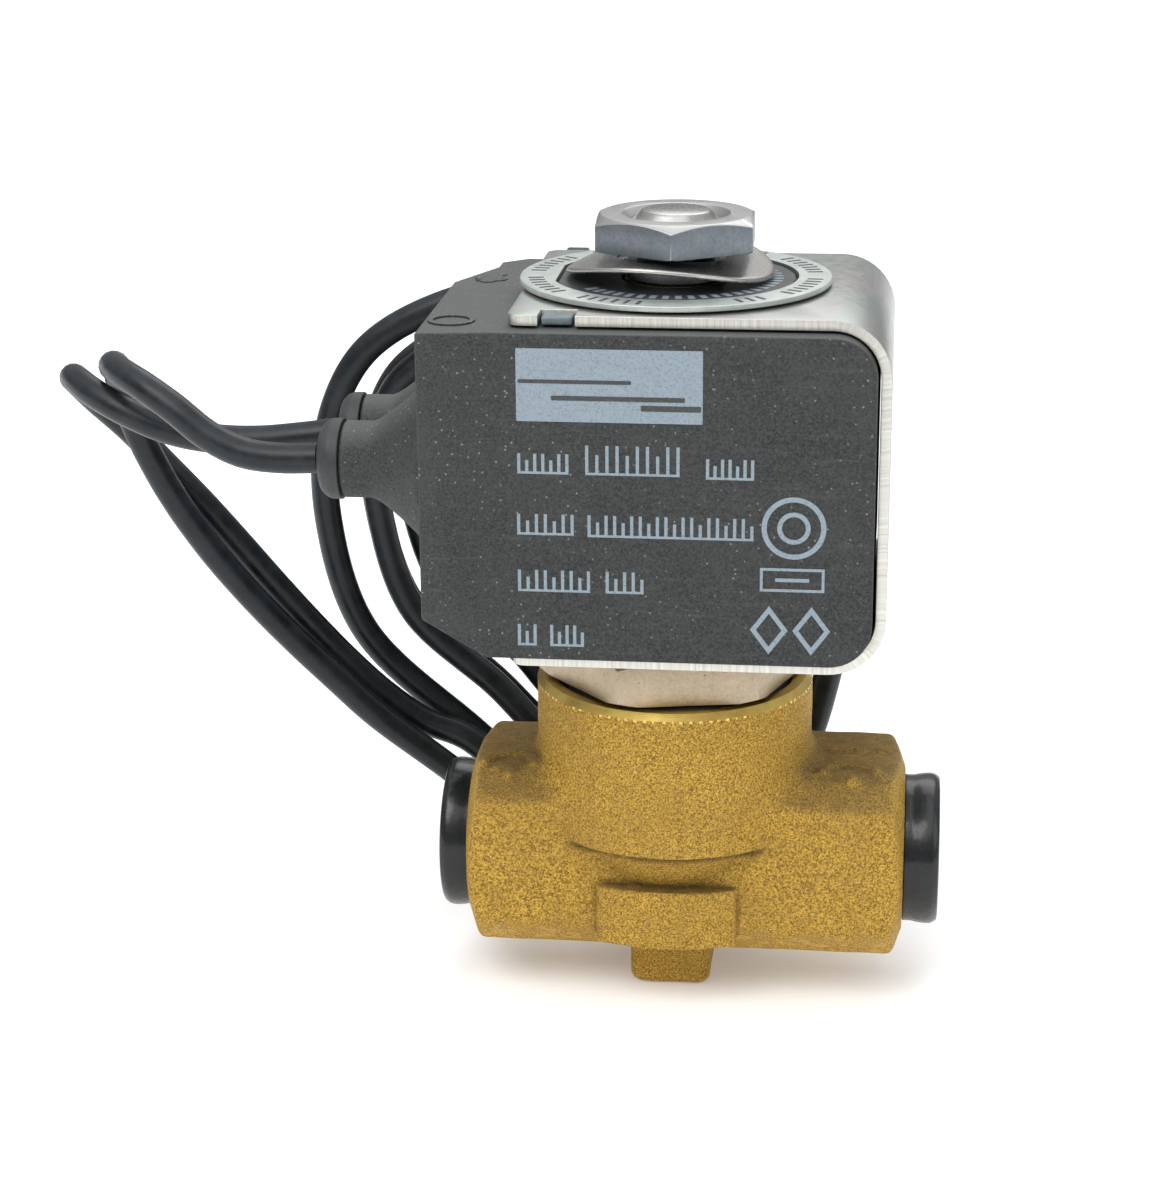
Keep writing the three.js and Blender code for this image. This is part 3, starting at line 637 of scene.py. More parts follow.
def lead_rubber():
    """Satin black insulation with a soft mottled sheen."""
    look = Look("lead_sheath", Specular_IOR_Level=0.33)
    mottle = look.cloud(2.6, 3, 0.6)
    fine = look.cloud(0.35, 3, 0.6)
    colour = look.tint(mottle, 0.35, 0.7, (0.007, 0.010, 0.013), (0.018, 0.023, 0.027))
    rough = look.vary(mottle, 0.27, 0.40)
    rough = look.maths("ADD", rough, look.vary(fine, 0.0, 0.08))
    return look.done(colour, rough, look.relief(fine, 0.012, look.relief(mottle, 0.05)))


def plain_plastic(name, colour_low, colour_high, roughness):
    """Moulded plastic or rubber with a fine grain."""
    look = Look(name)
    grain = look.cloud(0.22, 3, 0.6)
    broad = look.cloud(3.0, 3, 0.6)
    colour = look.tint(broad, 0.3, 0.7, colour_low, colour_high)
    rough = look.vary(grain, roughness - 0.08, roughness + 0.1)
    return look.done(colour, rough, look.relief(grain, 0.02))


def nameplate_foil():
    """Thin aluminium plate with a fine brushed grain."""
    look = Look("nameplate_foil", Metallic=0.85)
    brushed = look.cloud(0.10, 3, 0.7, stretch=(25, 1, 1))
    haze = look.cloud(1.6, 3, 0.6)
    colour = look.tint(haze, 0.35, 0.7, (0.46, 0.50, 0.47), (0.58, 0.61, 0.58))
    return look.done(colour, look.vary(brushed, 0.34, 0.52), look.relief(brushed, 0.008))


def wound_copper():
    """Enamelled wire, wound in level turns."""
    look = Look("copper_winding", Metallic=0.9)
    wave = {"Vector": look.sized(1.0), "Scale": 0.9, "Distortion": 0.3}
    turns = look.add("ShaderNodeTexWave", wave, bands_direction="Z").outputs["Fac"]
    broad = look.cloud(3.0, 3, 0.6)
    colour = look.tint(broad, 0.3, 0.7, (0.46, 0.17, 0.07), (0.62, 0.27, 0.12))
    rough = look.vary(broad, 0.25, 0.38)
    return look.done(colour, rough, look.relief(turns, 0.1))


def plain_metal(name, low, high, roughness):
    look = Look(name, Metallic=1.0)
    fine = look.cloud(0.2, 3, 0.6)
    broad = look.cloud(1.8, 3, 0.6)
    colour = look.tint(broad, 0.3, 0.7, low, high)
    rough = look.vary(fine, roughness, roughness + 0.15)
    return look.done(colour, rough, look.relief(fine, 0.01))


def floor_paper():
    look = Look("floor_paper", Emission_Color=(1, 1, 1, 1), Emission_Strength=0.18)
    fibres = look.cloud(1.5, 3, 0.6)
    colour = look.tint(fibres, 0.3, 0.7, (0.90, 0.90, 0.90), (0.93, 0.93, 0.93))
    return look.done(colour, 0.9, look.relief(fibres, 0.01))


BRASS = forged_brass()
BRASS_FACE = machined_brass()
COIL_BLACK = coil_plastic()
INK = print_ink()
DARK_INK = dark_ink()
ZINC = zinc_sheet()
ZINC_EDGE = sheared_edge()
NICKEL = nickelled_steel()
# The fourth colour is the painted side tone: painted shade on the core's and nut's sides, painted light on
# the washer's edge and underside.
CORE_STEEL = turned_steel("core_steel", (0.58, 0.57, 0.54), (0.26, 0.26, 0.25), (0.12, 0.13, 0.15), 0.20)
NUT_ZINC = turned_steel("zinc_nut", (0.50, 0.50, 0.48), (0.34, 0.34, 0.34), (0.20, 0.225, 0.25), 0.28)
WASHER_ZINC = turned_steel("zinc_spring", (0.50, 0.49, 0.46), (0.36, 0.35, 0.33), (0.62, 0.60, 0.56), 0.22)
PLUG_BLACK = gloss_plastic()
LEAD_BLACK = lead_rubber()
CAP_BLACK = plain_plastic("cap_plastic", (0.024, 0.026, 0.027), (0.044, 0.046, 0.047), 0.55)
SEAL_BLACK = plain_plastic("seal_rubber", (0.010, 0.010, 0.011), (0.018, 0.018, 0.019), 0.62)
INNER_GREY = plain_plastic("inner_plastic", (0.06, 0.06, 0.058), (0.09, 0.09, 0.088), 0.5)
TIE_BLACK = plain_plastic("tie_plastic", (0.012, 0.013, 0.014), (0.022, 0.023, 0.024), 0.38)
KEY_BLUE = plain_plastic("key_plastic", (0.085, 0.12, 0.14), (0.19, 0.235, 0.25), 0.42)
DISC_GREY = plain_plastic("disc_plastic", (0.035, 0.038, 0.040), (0.060, 0.064, 0.066), 0.48)
FOIL = nameplate_foil()
COPPER_COIL = wound_copper()
COPPER = plain_metal("copper", (0.62, 0.27, 0.13), (0.72, 0.36, 0.20), 0.28)
TINNED = plain_metal("tinned_copper", (0.62, 0.60, 0.57), (0.72, 0.70, 0.67), 0.26)
SPRING_STEEL = plain_metal("spring_steel", (0.50, 0.50, 0.49), (0.62, 0.62, 0.61), 0.22)
FLOOR = floor_paper()

for side in LEAD_LINES:
    sheaths[side].data.materials.append(LEAD_BLACK)
    strands[side].data.materials.append(TINNED)

# -------------------------------------------------------------- valve body

BODY_X = (-23.2, 26.6)
BODY_HALF_Y = 10.8
BODY_Z = (5.3, 27.3)
BODY_CHAMFER = {"top": 3.2, "bottom": 4.0}
END_FACE_RADIUS = 9.3
END_SLOPE = 0.36
BARREL_RADIUS = 15.74
FORGING_STEP = 0.36  # size of the grid that the forging's skin is found on
FORGING_RINGS = [
    ((-18.3, -7.3, 27.3), 3.0, 0.6),
    ((20.4, -7.0, 27.3), 3.1, 0.6),
    ((-19.0, -8.0, 26.9), 0.95, 0.4),
]
FORGING_PIPS = [((20.7, -7.7, 27.0), 0.75), ((-18.2, -8.4, 26.5), 0.5)]
THREAD_PITCH = 1.337


def soft_max(first, second, run):
    """The larger of two distances, with the corner between them rounded over a length."""
    near = np.maximum(run - np.abs(first - second), 0) / run
    return np.maximum(first, second) + near * near * run / 4


def soft_min(first, second, run):
    return -soft_max(-first, -second, run)


def rounded_off(run, *distances):
    whole = distances[0]
    for distance in distances[1:]:
        whole = soft_max(whole, distance, run)
    return whole


def block_distance(x, y, z):
    """The eight-sided port block, with its ends coned back round the port faces."""
    (low, high), side = BODY_Z, np.abs(y)
    top, bottom = BODY_CHAMFER["top"], BODY_CHAMFER["bottom"]
    cone = END_SLOPE * (np.hypot(y, z - PORT_Z) - END_FACE_RADIUS)
    tilt = math.hypot(1, END_SLOPE)
    return rounded_off(
        0.7,
        side - BODY_HALF_Y,
        low - z,
        z - high,
        (side - BODY_HALF_Y + z - high + top) / math.sqrt(2),
        (side - BODY_HALF_Y + low + bottom - z) / math.sqrt(2),
        (BODY_X[0] + cone - x) / tilt,
        (x - BODY_X[1] + cone) / tilt,
    )


def pad_distance(x, y, z, side):
    """A flat-sided pad on the block's front or back, with a slightly crowned face."""
    half, front, curve, low, high = 7.9, 13.1, 20.0, 7.7, 14.7
    crown = np.hypot(x, y - side * (front - curve)) - curve
    return rounded_off(0.3, crown, np.abs(x) - half, low - z, z - high, -side * y)


def skirt_distance(x, y, z):
    """The cone that carries the barrel's lower edge down into the block's front and back."""
    radius, slope, tilt, low = 14.2, 0.6, 1.17, 11.0
    below = BARREL_Z[0] - z
    cone = (np.hypot(x, y) - radius + slope * below) / tilt
    return rounded_off(0.3, cone, -below - 0.4, low - z)


def mark_distance(x, y, z, centre, radius, bead):
    """A half ring lying on the top of the block, open to the front."""
    ring = np.hypot(x - centre[0], y - centre[1]) - radius
    return np.maximum(np.hypot(ring, z - centre[2]) - bead, centre[1] - y)


def forging_distance(x, y, z):
    """Distance from the forging's skin, negative inside."""
    barrel = rounded_off(0.4, np.hypot(x, y) - BARREL_RADIUS, BARREL_Z[0] - z, z - 39)
    foot_x, foot_y, foot_top = 4.65, 6.1, 9
    foot = rounded_off(1.5, np.abs(x) - foot_x, np.abs(y) - foot_y, -z, z - foot_top)
    fillet = np.interp(z, (20.5, 24.0), (0.35, 2.2))  # wider on top of the block than under the barrel
    whole = soft_min(block_distance(x, y, z), barrel, fillet)
    whole = soft_min(whole, skirt_distance(x, y, z), 0.3)
    for side in (-1, 1):
        whole = soft_min(whole, pad_distance(x, y, z, side), 0.3)
    whole = soft_min(whole, foot, 1.1)
    for centre, radius, bead in FORGING_RINGS:
        whole = soft_min(whole, mark_distance(x, y, z, centre, radius, bead), 0.4)
    for centre, bead in FORGING_PIPS:
        pip = np.sqrt((x - centre[0]) ** 2 + (y - centre[1]) ** 2 + (z - centre[2]) ** 2) - bead
        whole = soft_min(whole, pip, 0.4)
    flash_x, flash_y = 21.2, 1.0
    along, across = np.abs(x - flash_x) - 3.4, np.abs(y - flash_y) - 0.5
    flash = rounded_off(0.3, along, across, np.abs(z - BODY_Z[1]) - 0.4)
    return soft_min(whole, flash, 0.4)


def skin_of(name, distance, low, high, step):
    """The closed surface where a distance function is zero, by one point in each grid cell it crosses."""
    counts = [int(math.ceil((b - a) / step)) + 1 for a, b in zip(low, high)]
    axes = [a + step * np.arange(n) for a, n in zip(low, counts)]
    field = distance(*np.meshgrid(*axes, indexing="ij", sparse=True))
    cells = tuple(n - 1 for n in counts)
    hits = np.zeros(cells)
    sums = np.zeros((3, *cells))
    crossings = []
    for axis in range(3):
        near = np.take(field, range(cells[axis]), axis)
        far = np.take(field, range(1, counts[axis]), axis)
        crossed = (near < 0) != (far < 0)
        part = np.where(crossed, near / np.where(crossed, near - far, 1), 0)
        crossings.append((crossed, near < 0))
        others = [(axis + 1) % 3, (axis + 2) % 3]
        for steps in ((0, 0), (0, 1), (1, 0), (1, 1)):
            window = [slice(None)] * 3
            for other, shift in zip(others, steps):
                window[other] = slice(shift, shift + cells[other])
            hit = crossed[tuple(window)]
            hits += hit
            sums[axis] += part[tuple(window)]
            for other, shift in zip(others, steps):
                sums[other] += hit * shift
    used = hits > 0
    number = np.full(cells, -1)
    number[used] = np.arange(used.sum())
    places = [low[k] + step * (np.nonzero(used)[k] + sums[k][used] / hits[used]) for k in range(3)]
    faces = []
    for axis, (crossed, starts_inside) in enumerate(crossings):
        second, third = (axis + 1) % 3, (axis + 2) % 3
        spots = np.argwhere(crossed)
        inner = (spots[:, second] > 0) & (spots[:, third] > 0)
        inner &= (spots[:, second] < cells[second]) & (spots[:, third] < cells[third])
        spots = spots[inner]
        outward = starts_inside[tuple(spots.T)]
        ring = []
        for back_second, back_third in ((1, 1), (0, 1), (0, 0), (1, 0)):
            cell = spots.copy()
            cell[:, second] -= back_second
            cell[:, third] -= back_third
            ring.append(number[tuple(cell.T)])
        quads = np.stack(ring, 1)
        quads[~outward] = quads[~outward][:, ::-1]
        faces += quads.tolist()
    return make_object(name, np.stack(places, 1).tolist(), faces)


def dimple(obj, size, depth):
    """Moves the skin in and out by a slow random amount."""
    spots = [(vertex.co.copy(), vertex.normal.copy()) for vertex in obj.data.vertices]
    for vertex, (at, outward) in zip(obj.data.vertices, spots):
        vertex.co = at + outward * noise.noise(at / (size * MM)) * depth * MM


def port_cutter(side):
    """One port from its face inwards: a counterbore, a thread and the passage to the seat."""
    mouth = BODY_X[0] if side < 0 else BODY_X[1]
    crest, root, lip, depth = 5.75, 6.35, 1.6, 13.0
    counterbore, passage = 8.9, 3.2
    profile = [(0, -1.0), (counterbore, -1.0), (counterbore, 1.25), (6.6, 1.25), (root, lip)]
    profile += thread_line((crest, lip + THREAD_PITCH / 2), (root, lip + THREAD_PITCH), THREAD_PITCH, 8)
    end = 17.2 if side < 0 else 26.6
    profile += [(crest, depth), (passage, depth), (passage, end), (0, end)]
    placed = [(radius, mouth - side * inward) for radius, inward in profile]
    return turned("port", placed, 64, axis="X", at=(0, PORT_Z))


def chamber_cutter():
    """The room under the guide tube, with the raised seat in its floor and the thread above."""
    seat, floor, room, thread, rim = 22.0, 19.5, 8.3, 11.5, 13.8
    profile = [
        (0, seat), (3.2, seat), (3.7, seat - 0.6), (3.7, floor), (room, floor), (room, 28.5),
        (thread, 28.5), (thread, 35.0), (rim, 35.0), (rim, 36.7), (rim + 0.3, 38.0), (0, 38.0),
    ]
    return turned("chamber", profile)


def is_machined(centre):
    """Whether a face was turned or bored after forging, by where its centre is, in metres."""
    x, y, z = centre / MM
    from_port_axis = math.hypot(y, z - PORT_Z)
    from_axis = math.hypot(x, y)
    from_end = min(x - BODY_X[0], BODY_X[1] - x)
    top_face = z > 36.2
    chamber = from_axis < 13.9 and z > 19.4
    port = from_port_axis < 6.5 or (from_end < 1.3 and from_port_axis < 8.95)
    end_face = from_end < 0.03
    return top_face or chamber or port or end_face


def valve_body():
    low, high = (-26.5, -17.5, -1.2), (30.0, 17.5, 40.2)
    body = skin_of("valve_body_forging", forging_distance, low, high, FORGING_STEP)
    dimple(body, 3.0, 0.06)
    top = [(0, -1), (60, -1), (60, 36.0), (15.95, 36.1), (15.05, BARREL_Z[1]), (0, BARREL_Z[1])]
    combine(body, "INTERSECT", turned("top", top))
    combine(body, "INTERSECT", block("slice", *BODY_X, -40, 40, 0, 60))
    combine(body, "DIFFERENCE", chamber_cutter())
    seat = drum("seat", 2.2, PORT_Z, 23, 32)
    feed = drum("feed", 2.1, PORT_Z, 20.5, 32, at=(-6.0, 0))
    combine(body, "DIFFERENCE", seat, feed, port_cutter(-1), port_cutter(1))
    shade(body, 40)
    two_materials(body, BRASS, BRASS_FACE, lambda face: is_machined(face.center))
    return keep_piece(body, "valve", ["valve_body"], "forged_brass")


# -------------------------------------------------------------- port plugs

PLUG_FACE = 26.9  # where the +X plug's flange starts, before it stands out


def port_plug(name, side, slide):
    """A push-in protective plug with a dished outer face and a ribbed spigot."""
    flange, shoulder, spigot = 8.7, 8.45, 5.35
    inner, outer = -6.2, 3.0
    profile = [(0, inner + 0.9), (3.9, inner + 0.9), (3.9, inner), (spigot - 0.7, inner)]
    rib = ((-0.12, 0), (0, 0.35), (-0.12, 0.7), (-0.45, 1.0))
    for ring in range(3):
        at = inner + 1.0 + 1.3 * ring
        profile += [(spigot + out, at + along) for out, along in rib]
    profile += [
        (spigot - 0.3, -1.15), (shoulder, -1.15), (shoulder, 0.0), (flange - 0.08, 0.8), (flange, 1.6),
        (flange - 0.02, outer - 0.7), (flange - 0.45, outer), (6.1, outer), (5.5, outer - 1.3),
        (2.0, outer - 1.45), (1.6, outer - 1.15), (0, outer - 1.1),
    ]
    profile = filleted(profile, 0.3)
    centre = BODY_X[0] + BODY_X[1]
    placed = [(r, (centre - PLUG_FACE - x) if side < 0 else (PLUG_FACE + slide + x)) for r, x in profile]
    plug = turned(name, placed, 96, axis="X", at=(0, PORT_Z))
    shade(plug, 50)
    side_name = "left" if side < 0 else "right"
    return keep_piece(plug, f"{side_name}_plug", [f"{side_name}_port_plug"], "plug_plastic", PLUG_BLACK)


# ------------------------------------------------- guide tube, core and nut

HEX_Z = (37.35, 42.7)
HEX_TURN = -19
STUD_TOP = 90.0
NUT_Z = (86.05, 89.65)
WASHER_BEND_TURN = -12  # which way the washer's bend lies, in degrees from X


def guide_tube():
    tube = prism("guide_tube", hexagon(27, HEX_TURN), *HEX_Z)
    chamfers = [
        (0, HEX_Z[0]), (14.6, HEX_Z[0]), (15.8, HEX_Z[0] + 0.55), (15.8, HEX_Z[1] - 1.2),
        (13.4, HEX_Z[1]), (0, HEX_Z[1]),
    ]
    combine(tube, "INTERSECT", turned("chamfers", chamfers, 128))
    soften(tube, 0.12, 2, 20)
    radius, bore, top = 5.6, 5.0, 82.5
    stem = turned("stem", filleted([(0, 38), (radius, 38), (radius, top), (0, top)], 0.15))
    thread = [(0, 29.0), (10.4, 29.0), *thread_line((11.15, 29.7), (10.5, 30.3), 1.25, 5)]
    thread += [(10.4, 36.0), (10.4, 38.0), (0, 38.0)]
    combine(tube, "UNION", stem, turned("thread", thread, 64))
    combine(tube, "DIFFERENCE", drum("bore", bore, 28, top + 1))
    relief = [(0, 28), (8.0, 28), (8.0, 32), (0, 35)]
    combine(tube, "DIFFERENCE", turned("relief", relief))
    shade(tube, 30)
    return keep_piece(tube, "valve", ["enclosing_tube"], "nickelled_steel", NICKEL)


def threaded_stud():
    """The fixed core: a plug in the guide tube with a threaded stud above it."""
    profile = [
        (0, 62.0), (2.75, 62.0), (2.75, 63.6), (4.2, 63.6), (4.2, 62.0), (4.7, 62.0), (4.7, 82.8),
        (5.6, 82.8), (5.6, 84.3), (4.3, 84.3), (4.3, 84.7),
    ]
    profile += thread_line((4.85, 85.2), (4.3, 85.7), 1, 5)
    profile[-2:] = [(4.75, 88.9), (3.95, 89.7), (3.8, 89.9)]
    profile += [(3.55, STUD_TOP), (0, STUD_TOP - 0.06)]
    stud = turned("threaded_stud", profile)
    shade(stud, 35)
    return keep_piece(stud, "valve", ["fixed_core"], "core_steel", CORE_STEEL)


def clamp_nut():
    low, high = NUT_Z
    nut = prism("hex_nut", hexagon(17, 1.5), low, high)
    corners = [(0, low), (9.5, low), (9.9, low + 0.25), (9.9, high - 0.8), (8.25, high), (0, high)]
    combine(nut, "INTERSECT", turned("corners", corners, 144))
    hole = [(0, low - 1), (5.9, low - 1), (5.9, low), (5.15, low + 0.7)]
    hole += thread_line((5.35, low + 1.1), (5.0, low + 1.6), 1, 2)
    hole += [(5.15, high - 0.85), (5.95, high), (5.95, high + 1), (0, high + 1)]
    combine(nut, "DIFFERENCE", turned("hole", hole))
    soften(nut, 0.13, 3, 18)
    shade(nut, 24)
    return keep_piece(nut, "nut", ["clamp_nut"], "zinc_nut", NUT_ZINC)


def spring_washer():
    inner, outer, sheet, top, drop, slack = 5.95, 11.4, 0.55, 85.5, 2.1, 0.6
    bend = math.radians(WASHER_BEND_TURN)
    edge = sheet / 2
    radii = [inner + (outer - inner) * k / 8 for k in range(1, 8)]
    section = arc((inner + edge, top - edge), edge, 270, 90, 6)
    section += [(radius, top) for radius in radii]
    section += arc((outer - edge, top - edge), edge, 90, -90, 6)
    section += [(radius, top - sheet) for radius in reversed(radii)]
    washer = turned("bent_washer", section, 128, closed=True)
    for vertex in washer.data.vertices:
        across = vertex.co.x * math.cos(bend) + vertex.co.y * math.sin(bend)
        vertex.co.z -= drop * MM * (across / (outer * MM)) ** 2
        vertex.co.x -= slack * MM
    shade(washer, 50)
    return keep_piece(washer, "washer", ["spring_washer"], "zinc_spring", WASHER_ZINC)


# -------------------------------------------------------------------- coil

COIL_X = (-25.6, 22.5)
COIL_FRONT = -20.06
COIL_REAR = 20.0
COIL_Z = (44.6, 80.4)
OUTLET_Z = 64.3
OUTLET_Y = {"front": -12.0, "rear": 0.0}


def coil_block():
    (x0, x1), (z0, z1), corner = COIL_X, COIL_Z, 4.6
    view = [(x0, z1), (x0, z0 + 4.4), (x0 + 6.9, z0)]
    view += arc((x1 - corner, z0 + corner), corner, -90, 0, 10)
    view += arc((x1 - corner, z1 - corner), corner, 0, 90, 10)
    shape = prism("coil_case", view, COIL_FRONT - 2, COIL_REAR + 1, "Y")
    plan = [
        (x0, COIL_FRONT - 0.9), (-18.2, COIL_FRONT), (x1, COIL_FRONT), (x1, COIL_REAR), (-19.0, COIL_REAR),
        (-21.8, COIL_REAR - 2.4), (-21.8, COIL_REAR - 5.2), (x0, 5.8),
    ]
    combine(shape, "INTERSECT", prism("plan", plan, z0 - 1, z1 + 1))
    return soften(shape, 0.5, 3, 24)


def outlet_boss(y):
    """A hollow cone that runs out into a short barrel."""
    face, shoulder, barrel, flare = -35.1, -31.9, 4.2, 5.0
    profile = [(0, face), (barrel - 0.25, face), (barrel, face + 0.25), (barrel, shoulder - 0.1)]
    steps = (0.08, 0.2, 0.35, 0.5, 0.65, 0.8, 0.92, 1.0)
    profile += [(barrel + flare * t**1.25, shoulder + 6.3 * t) for t in steps]
    profile += [(barrel + flare, -23.6), (0, -23.6)]
    return turned("boss", profile, 72, axis="X", at=(y, OUTLET_Z))


def moulded_marks():
    """A raised ring and a rough gate scar, left by the mould on the top of the case."""
    top = COIL_Z[1]
    section = [(1.9, top - 0.4), (2.55, top - 0.4), (2.5, top + 0.2), (2.2, top + 0.28), (1.95, top + 0.2)]
    ring_at, (scar_x, scar_y) = (-22.6, -14.9), (-21.6, 7.6)
    marks = [turned("ring", section, 64, at=ring_at, closed=True)]
    for k in range(9):
        x, y = scar_x + 1.2 * math.sin(2.4 * k), scar_y + 2.6 * math.cos(2.4 * k) * (k / 8)
        size = 0.75 + 0.35 * math.sin(1.7 * k)
        lump = [(0, -0.3), (size + 0.15, -0.3), (size, 0.12), (0.6 * size, 0.3), (0, 0.34)]
        marks.append(turned("lump", [(radius, top + height) for radius, height in lump], 14, at=(x, y)))
    return marks


def coil_housing():
    housing = combine(coil_block(), "UNION", *moulded_marks())
    bosses = combine(outlet_boss(OUTLET_Y["front"]), "UNION", outlet_boss(OUTLET_Y["rear"]))
    combine(bosses, "INTERSECT", block("room", -50, 0, COIL_FRONT - 0.7, 12, COIL_Z[0], COIL_Z[1]))
    combine(housing, "UNION", bosses)
    z0, z1 = COIL_Z
    winding_room, bore, counterbore = 15.6, 6.2, 8.5
    hollows = [
        (winding_room, z0 + 1.7, z1 - 1.7),
        (bore, z0 - 1, z1 + 1),
        (counterbore, z0 - 1, z0 + 0.65),
        (counterbore, z1 - 0.85, z1 + 1),
    ]
    for hollow in hollows:
        combine(housing, "DIFFERENCE", drum("hollow", *hollow, 64))
    for y in OUTLET_Y.values():
        combine(housing, "DIFFERENCE", drum("hole", 2.1, -36.1, -8, 32, axis="X", at=(y, OUTLET_Z)))
    shade(housing, 30)
    return keep_piece(housing, "coil_assembly", ["coil_housing"], "coil_plastic", COIL_BLACK)


def outlet_cap(side):
    y = OUTLET_Y[side]
    hole, back, front = LEAD_RADIUS + 0.12, -35.2, -37.8
    profile = [
        (hole, front + 0.15), (2.6, front), (3.5, front + 0.25), (4.1, front + 0.75), (4.4, front + 1.4),
        (4.42, back - 0.08), (4.34, back), (hole, back),
    ]
    profile = filleted(profile, 0.15, closed=True)
    cap = turned(f"{side}_gland_cap", profile, 72, axis="X", at=(y, OUTLET_Z), closed=True)
    shade(cap, 40)
    return keep_piece(cap, "coil_assembly", [f"{side}_outlet_cap"], "cap_plastic", CAP_BLACK)


# -------------------------------------------------------------------- yoke

YOKE_X = (-16.3, 23.95)
YOKE_HALF_Y = 18.1
YOKE_Z = (43.15, 81.85)
YOKE_SHEET = 1.15
YOKE_BEND = 6.2
NOTCH = {"x": (-13.0, -9.1), "y": -14.8}


def yoke_run(point):
    """How far along the bent sheet a point is, in metres, from the end of the top leaf."""
    x, z = point.x / MM, point.z / MM
    centre_x, high, low = YOKE_X[1] - YOKE_BEND, YOKE_Z[1] - YOKE_BEND, YOKE_Z[0] + YOKE_BEND
    leaf, quarter = centre_x - YOKE_X[0], YOKE_BEND * math.pi / 2
    if x < centre_x:
        flat = x - YOKE_X[0]
        run = flat if z > (high + low) / 2 else 2 * leaf + 2 * quarter + high - low - flat
    elif z > high:
        run = leaf + YOKE_BEND * math.atan2(x - centre_x, z - high)
    elif z > low:
        run = leaf + quarter + high - z
    else:
        run = leaf + quarter + high - low + YOKE_BEND * math.atan2(low - z, x - centre_x)
    return run * MM


def yoke():
    (x0, x1), (z0, z1), bend = YOKE_X, YOKE_Z, YOKE_BEND
    inner = bend - YOKE_SHEET
    low, high = (x1 - bend, z0 + bend), (x1 - bend, z1 - bend)
    line = [(x0, z0), *arc(low, bend, -90, 0, 12), *arc(high, bend, 0, 90, 12), (x0, z1)]
    line += [(x0, z1 - YOKE_SHEET), *arc(high, inner, 90, 0, 12), *arc(low, inner, 0, -90, 12)]
    line += [(x0, z0 + YOKE_SHEET)]
    sheet = prism("yoke_strip", line, -YOKE_HALF_Y, YOKE_HALF_Y, "Y")
    corner = 1.5
    plan = arc((x0 + corner, YOKE_HALF_Y - corner), corner, 90, 180)
    plan += arc((x0 + corner, corner - YOKE_HALF_Y), corner, 180, 270)
    plan += [(30, -YOKE_HALF_Y), (30, YOKE_HALF_Y)]
    combine(sheet, "INTERSECT", prism("plan", plan, z0 - 1, z1 + 1))
    hole = drum("hole", 8.5, z0 - 1, z1 + 1)
    notch = block("notch", *NOTCH["x"], -YOKE_HALF_Y - 1, NOTCH["y"], z1 - 2, z1 + 1)
    combine(sheet, "DIFFERENCE", hole, notch)
    soften(sheet, 0.16, 3, 40)
    shade(sheet, 30)
    two_materials(sheet, ZINC, ZINC_EDGE, lambda face: abs(face.normal.y) > 0.75)
    run = sheet.data.attributes.new("run", "FLOAT", "POINT")
    for vertex in sheet.data.vertices:
        run.data[vertex.index].value = yoke_run(vertex.co)
    return keep_piece(sheet, "coil_assembly", ["yoke"], "zinc_sheet")


def yoke_key():
    (x0, x1), rear, gap = NOTCH["x"], NOTCH["y"], 0.3
    low, high = COIL_Z[1] + gap, YOKE_Z[1] - 0.25
    key = block("locating_key", x0 + gap, x1 - gap, 0.5 - YOKE_HALF_Y, rear - gap, low, high)
    soften(key, 0.25, 3)
    shade(key)
    return keep_piece(key, "coil_assembly", ["yoke_key"], "key_plastic", KEY_BLUE)


# ------------------------------------------------------ nameplate and disc

PLATE_FLAT_X = -12.8
PLATE_Z = (82.15, 82.75)
DISC_Z = (82.15, 82.5)


def nameplate():
    outer, inner, low, high = 17.1, 13.5, *PLATE_Z
    plate = turned("nameplate", filleted([(0, low), (outer, low), (outer, high), (0, high)], 0.12), 160)
    hole = drum("hole", inner, low - 1, high + 1, 160)
    combine(hole, "INTERSECT", block("flat", PLATE_FLAT_X, 30, -30, 30, low - 1, high + 1))
    combine(plate, "DIFFERENCE", hole)
    shade(plate, 30)
    return keep_piece(plate, "coil_assembly", ["nameplate_ring"], "nameplate_foil", FOIL)


def top_disc():
    outer, inner, low, high = 13.1, 6.0, *DISC_Z
    section = [(inner, low), (outer, low), (outer, high), (inner, high)]
    disc = turned("cover_disc", section, 128, closed=True)
    combine(disc, "INTERSECT", block("flat", PLATE_FLAT_X + 0.3, 30, -30, 30, low - 1, high + 1))
    shade(disc, 30)
    return keep_piece(disc, "coil_assembly", ["top_disc"], "disc_plastic", DISC_GREY)


# ------------------------------------------------------------------- print
# Plain marks stand where the real part has writing.

INK_DEPTH = 0.03


def joined(name, parts):
    """Several closed meshes as one object."""
    builder = bmesh.new()
    for part in parts:
        builder.from_mesh(part.data)
        bpy.data.objects.remove(part)
    mesh = bpy.data.meshes.new(name)
    builder.to_mesh(mesh)
    builder.free()
    return new_object(name, mesh)


def front_mark(outline, depth=INK_DEPTH):
    return prism("mark", outline, COIL_FRONT - depth, COIL_FRONT + 0.05, "Y")


def bar(x0, x1, z0, z1):
    return filleted([(x0, z0), (x1, z0), (x1, z1), (x0, z1)], 0.12, closed=True, steps=2)


def front_ring(outer, inner):
    """The band between two closed outlines with the same number of points."""
    count = len(outer)
    near, far = COIL_FRONT - INK_DEPTH, COIL_FRONT + 0.05
    vertices = [(x, y, z) for y in (near, far) for line in (outer, inner) for x, z in line]
    faces = []
    for i in range(count):
        n = (i + 1) % count
        for a, b in ((0, 1), (1, 3), (3, 2), (2, 0)):
            faces.append([a * count + i, a * count + n, b * count + n, b * count + i])
    return make_object("mark", vertices, faces)


def scaled(outline, centre, factor):
    cx, cz = centre
    return [(cx + (x - cx) * factor, cz + (z - cz) * factor) for x, z in outline]


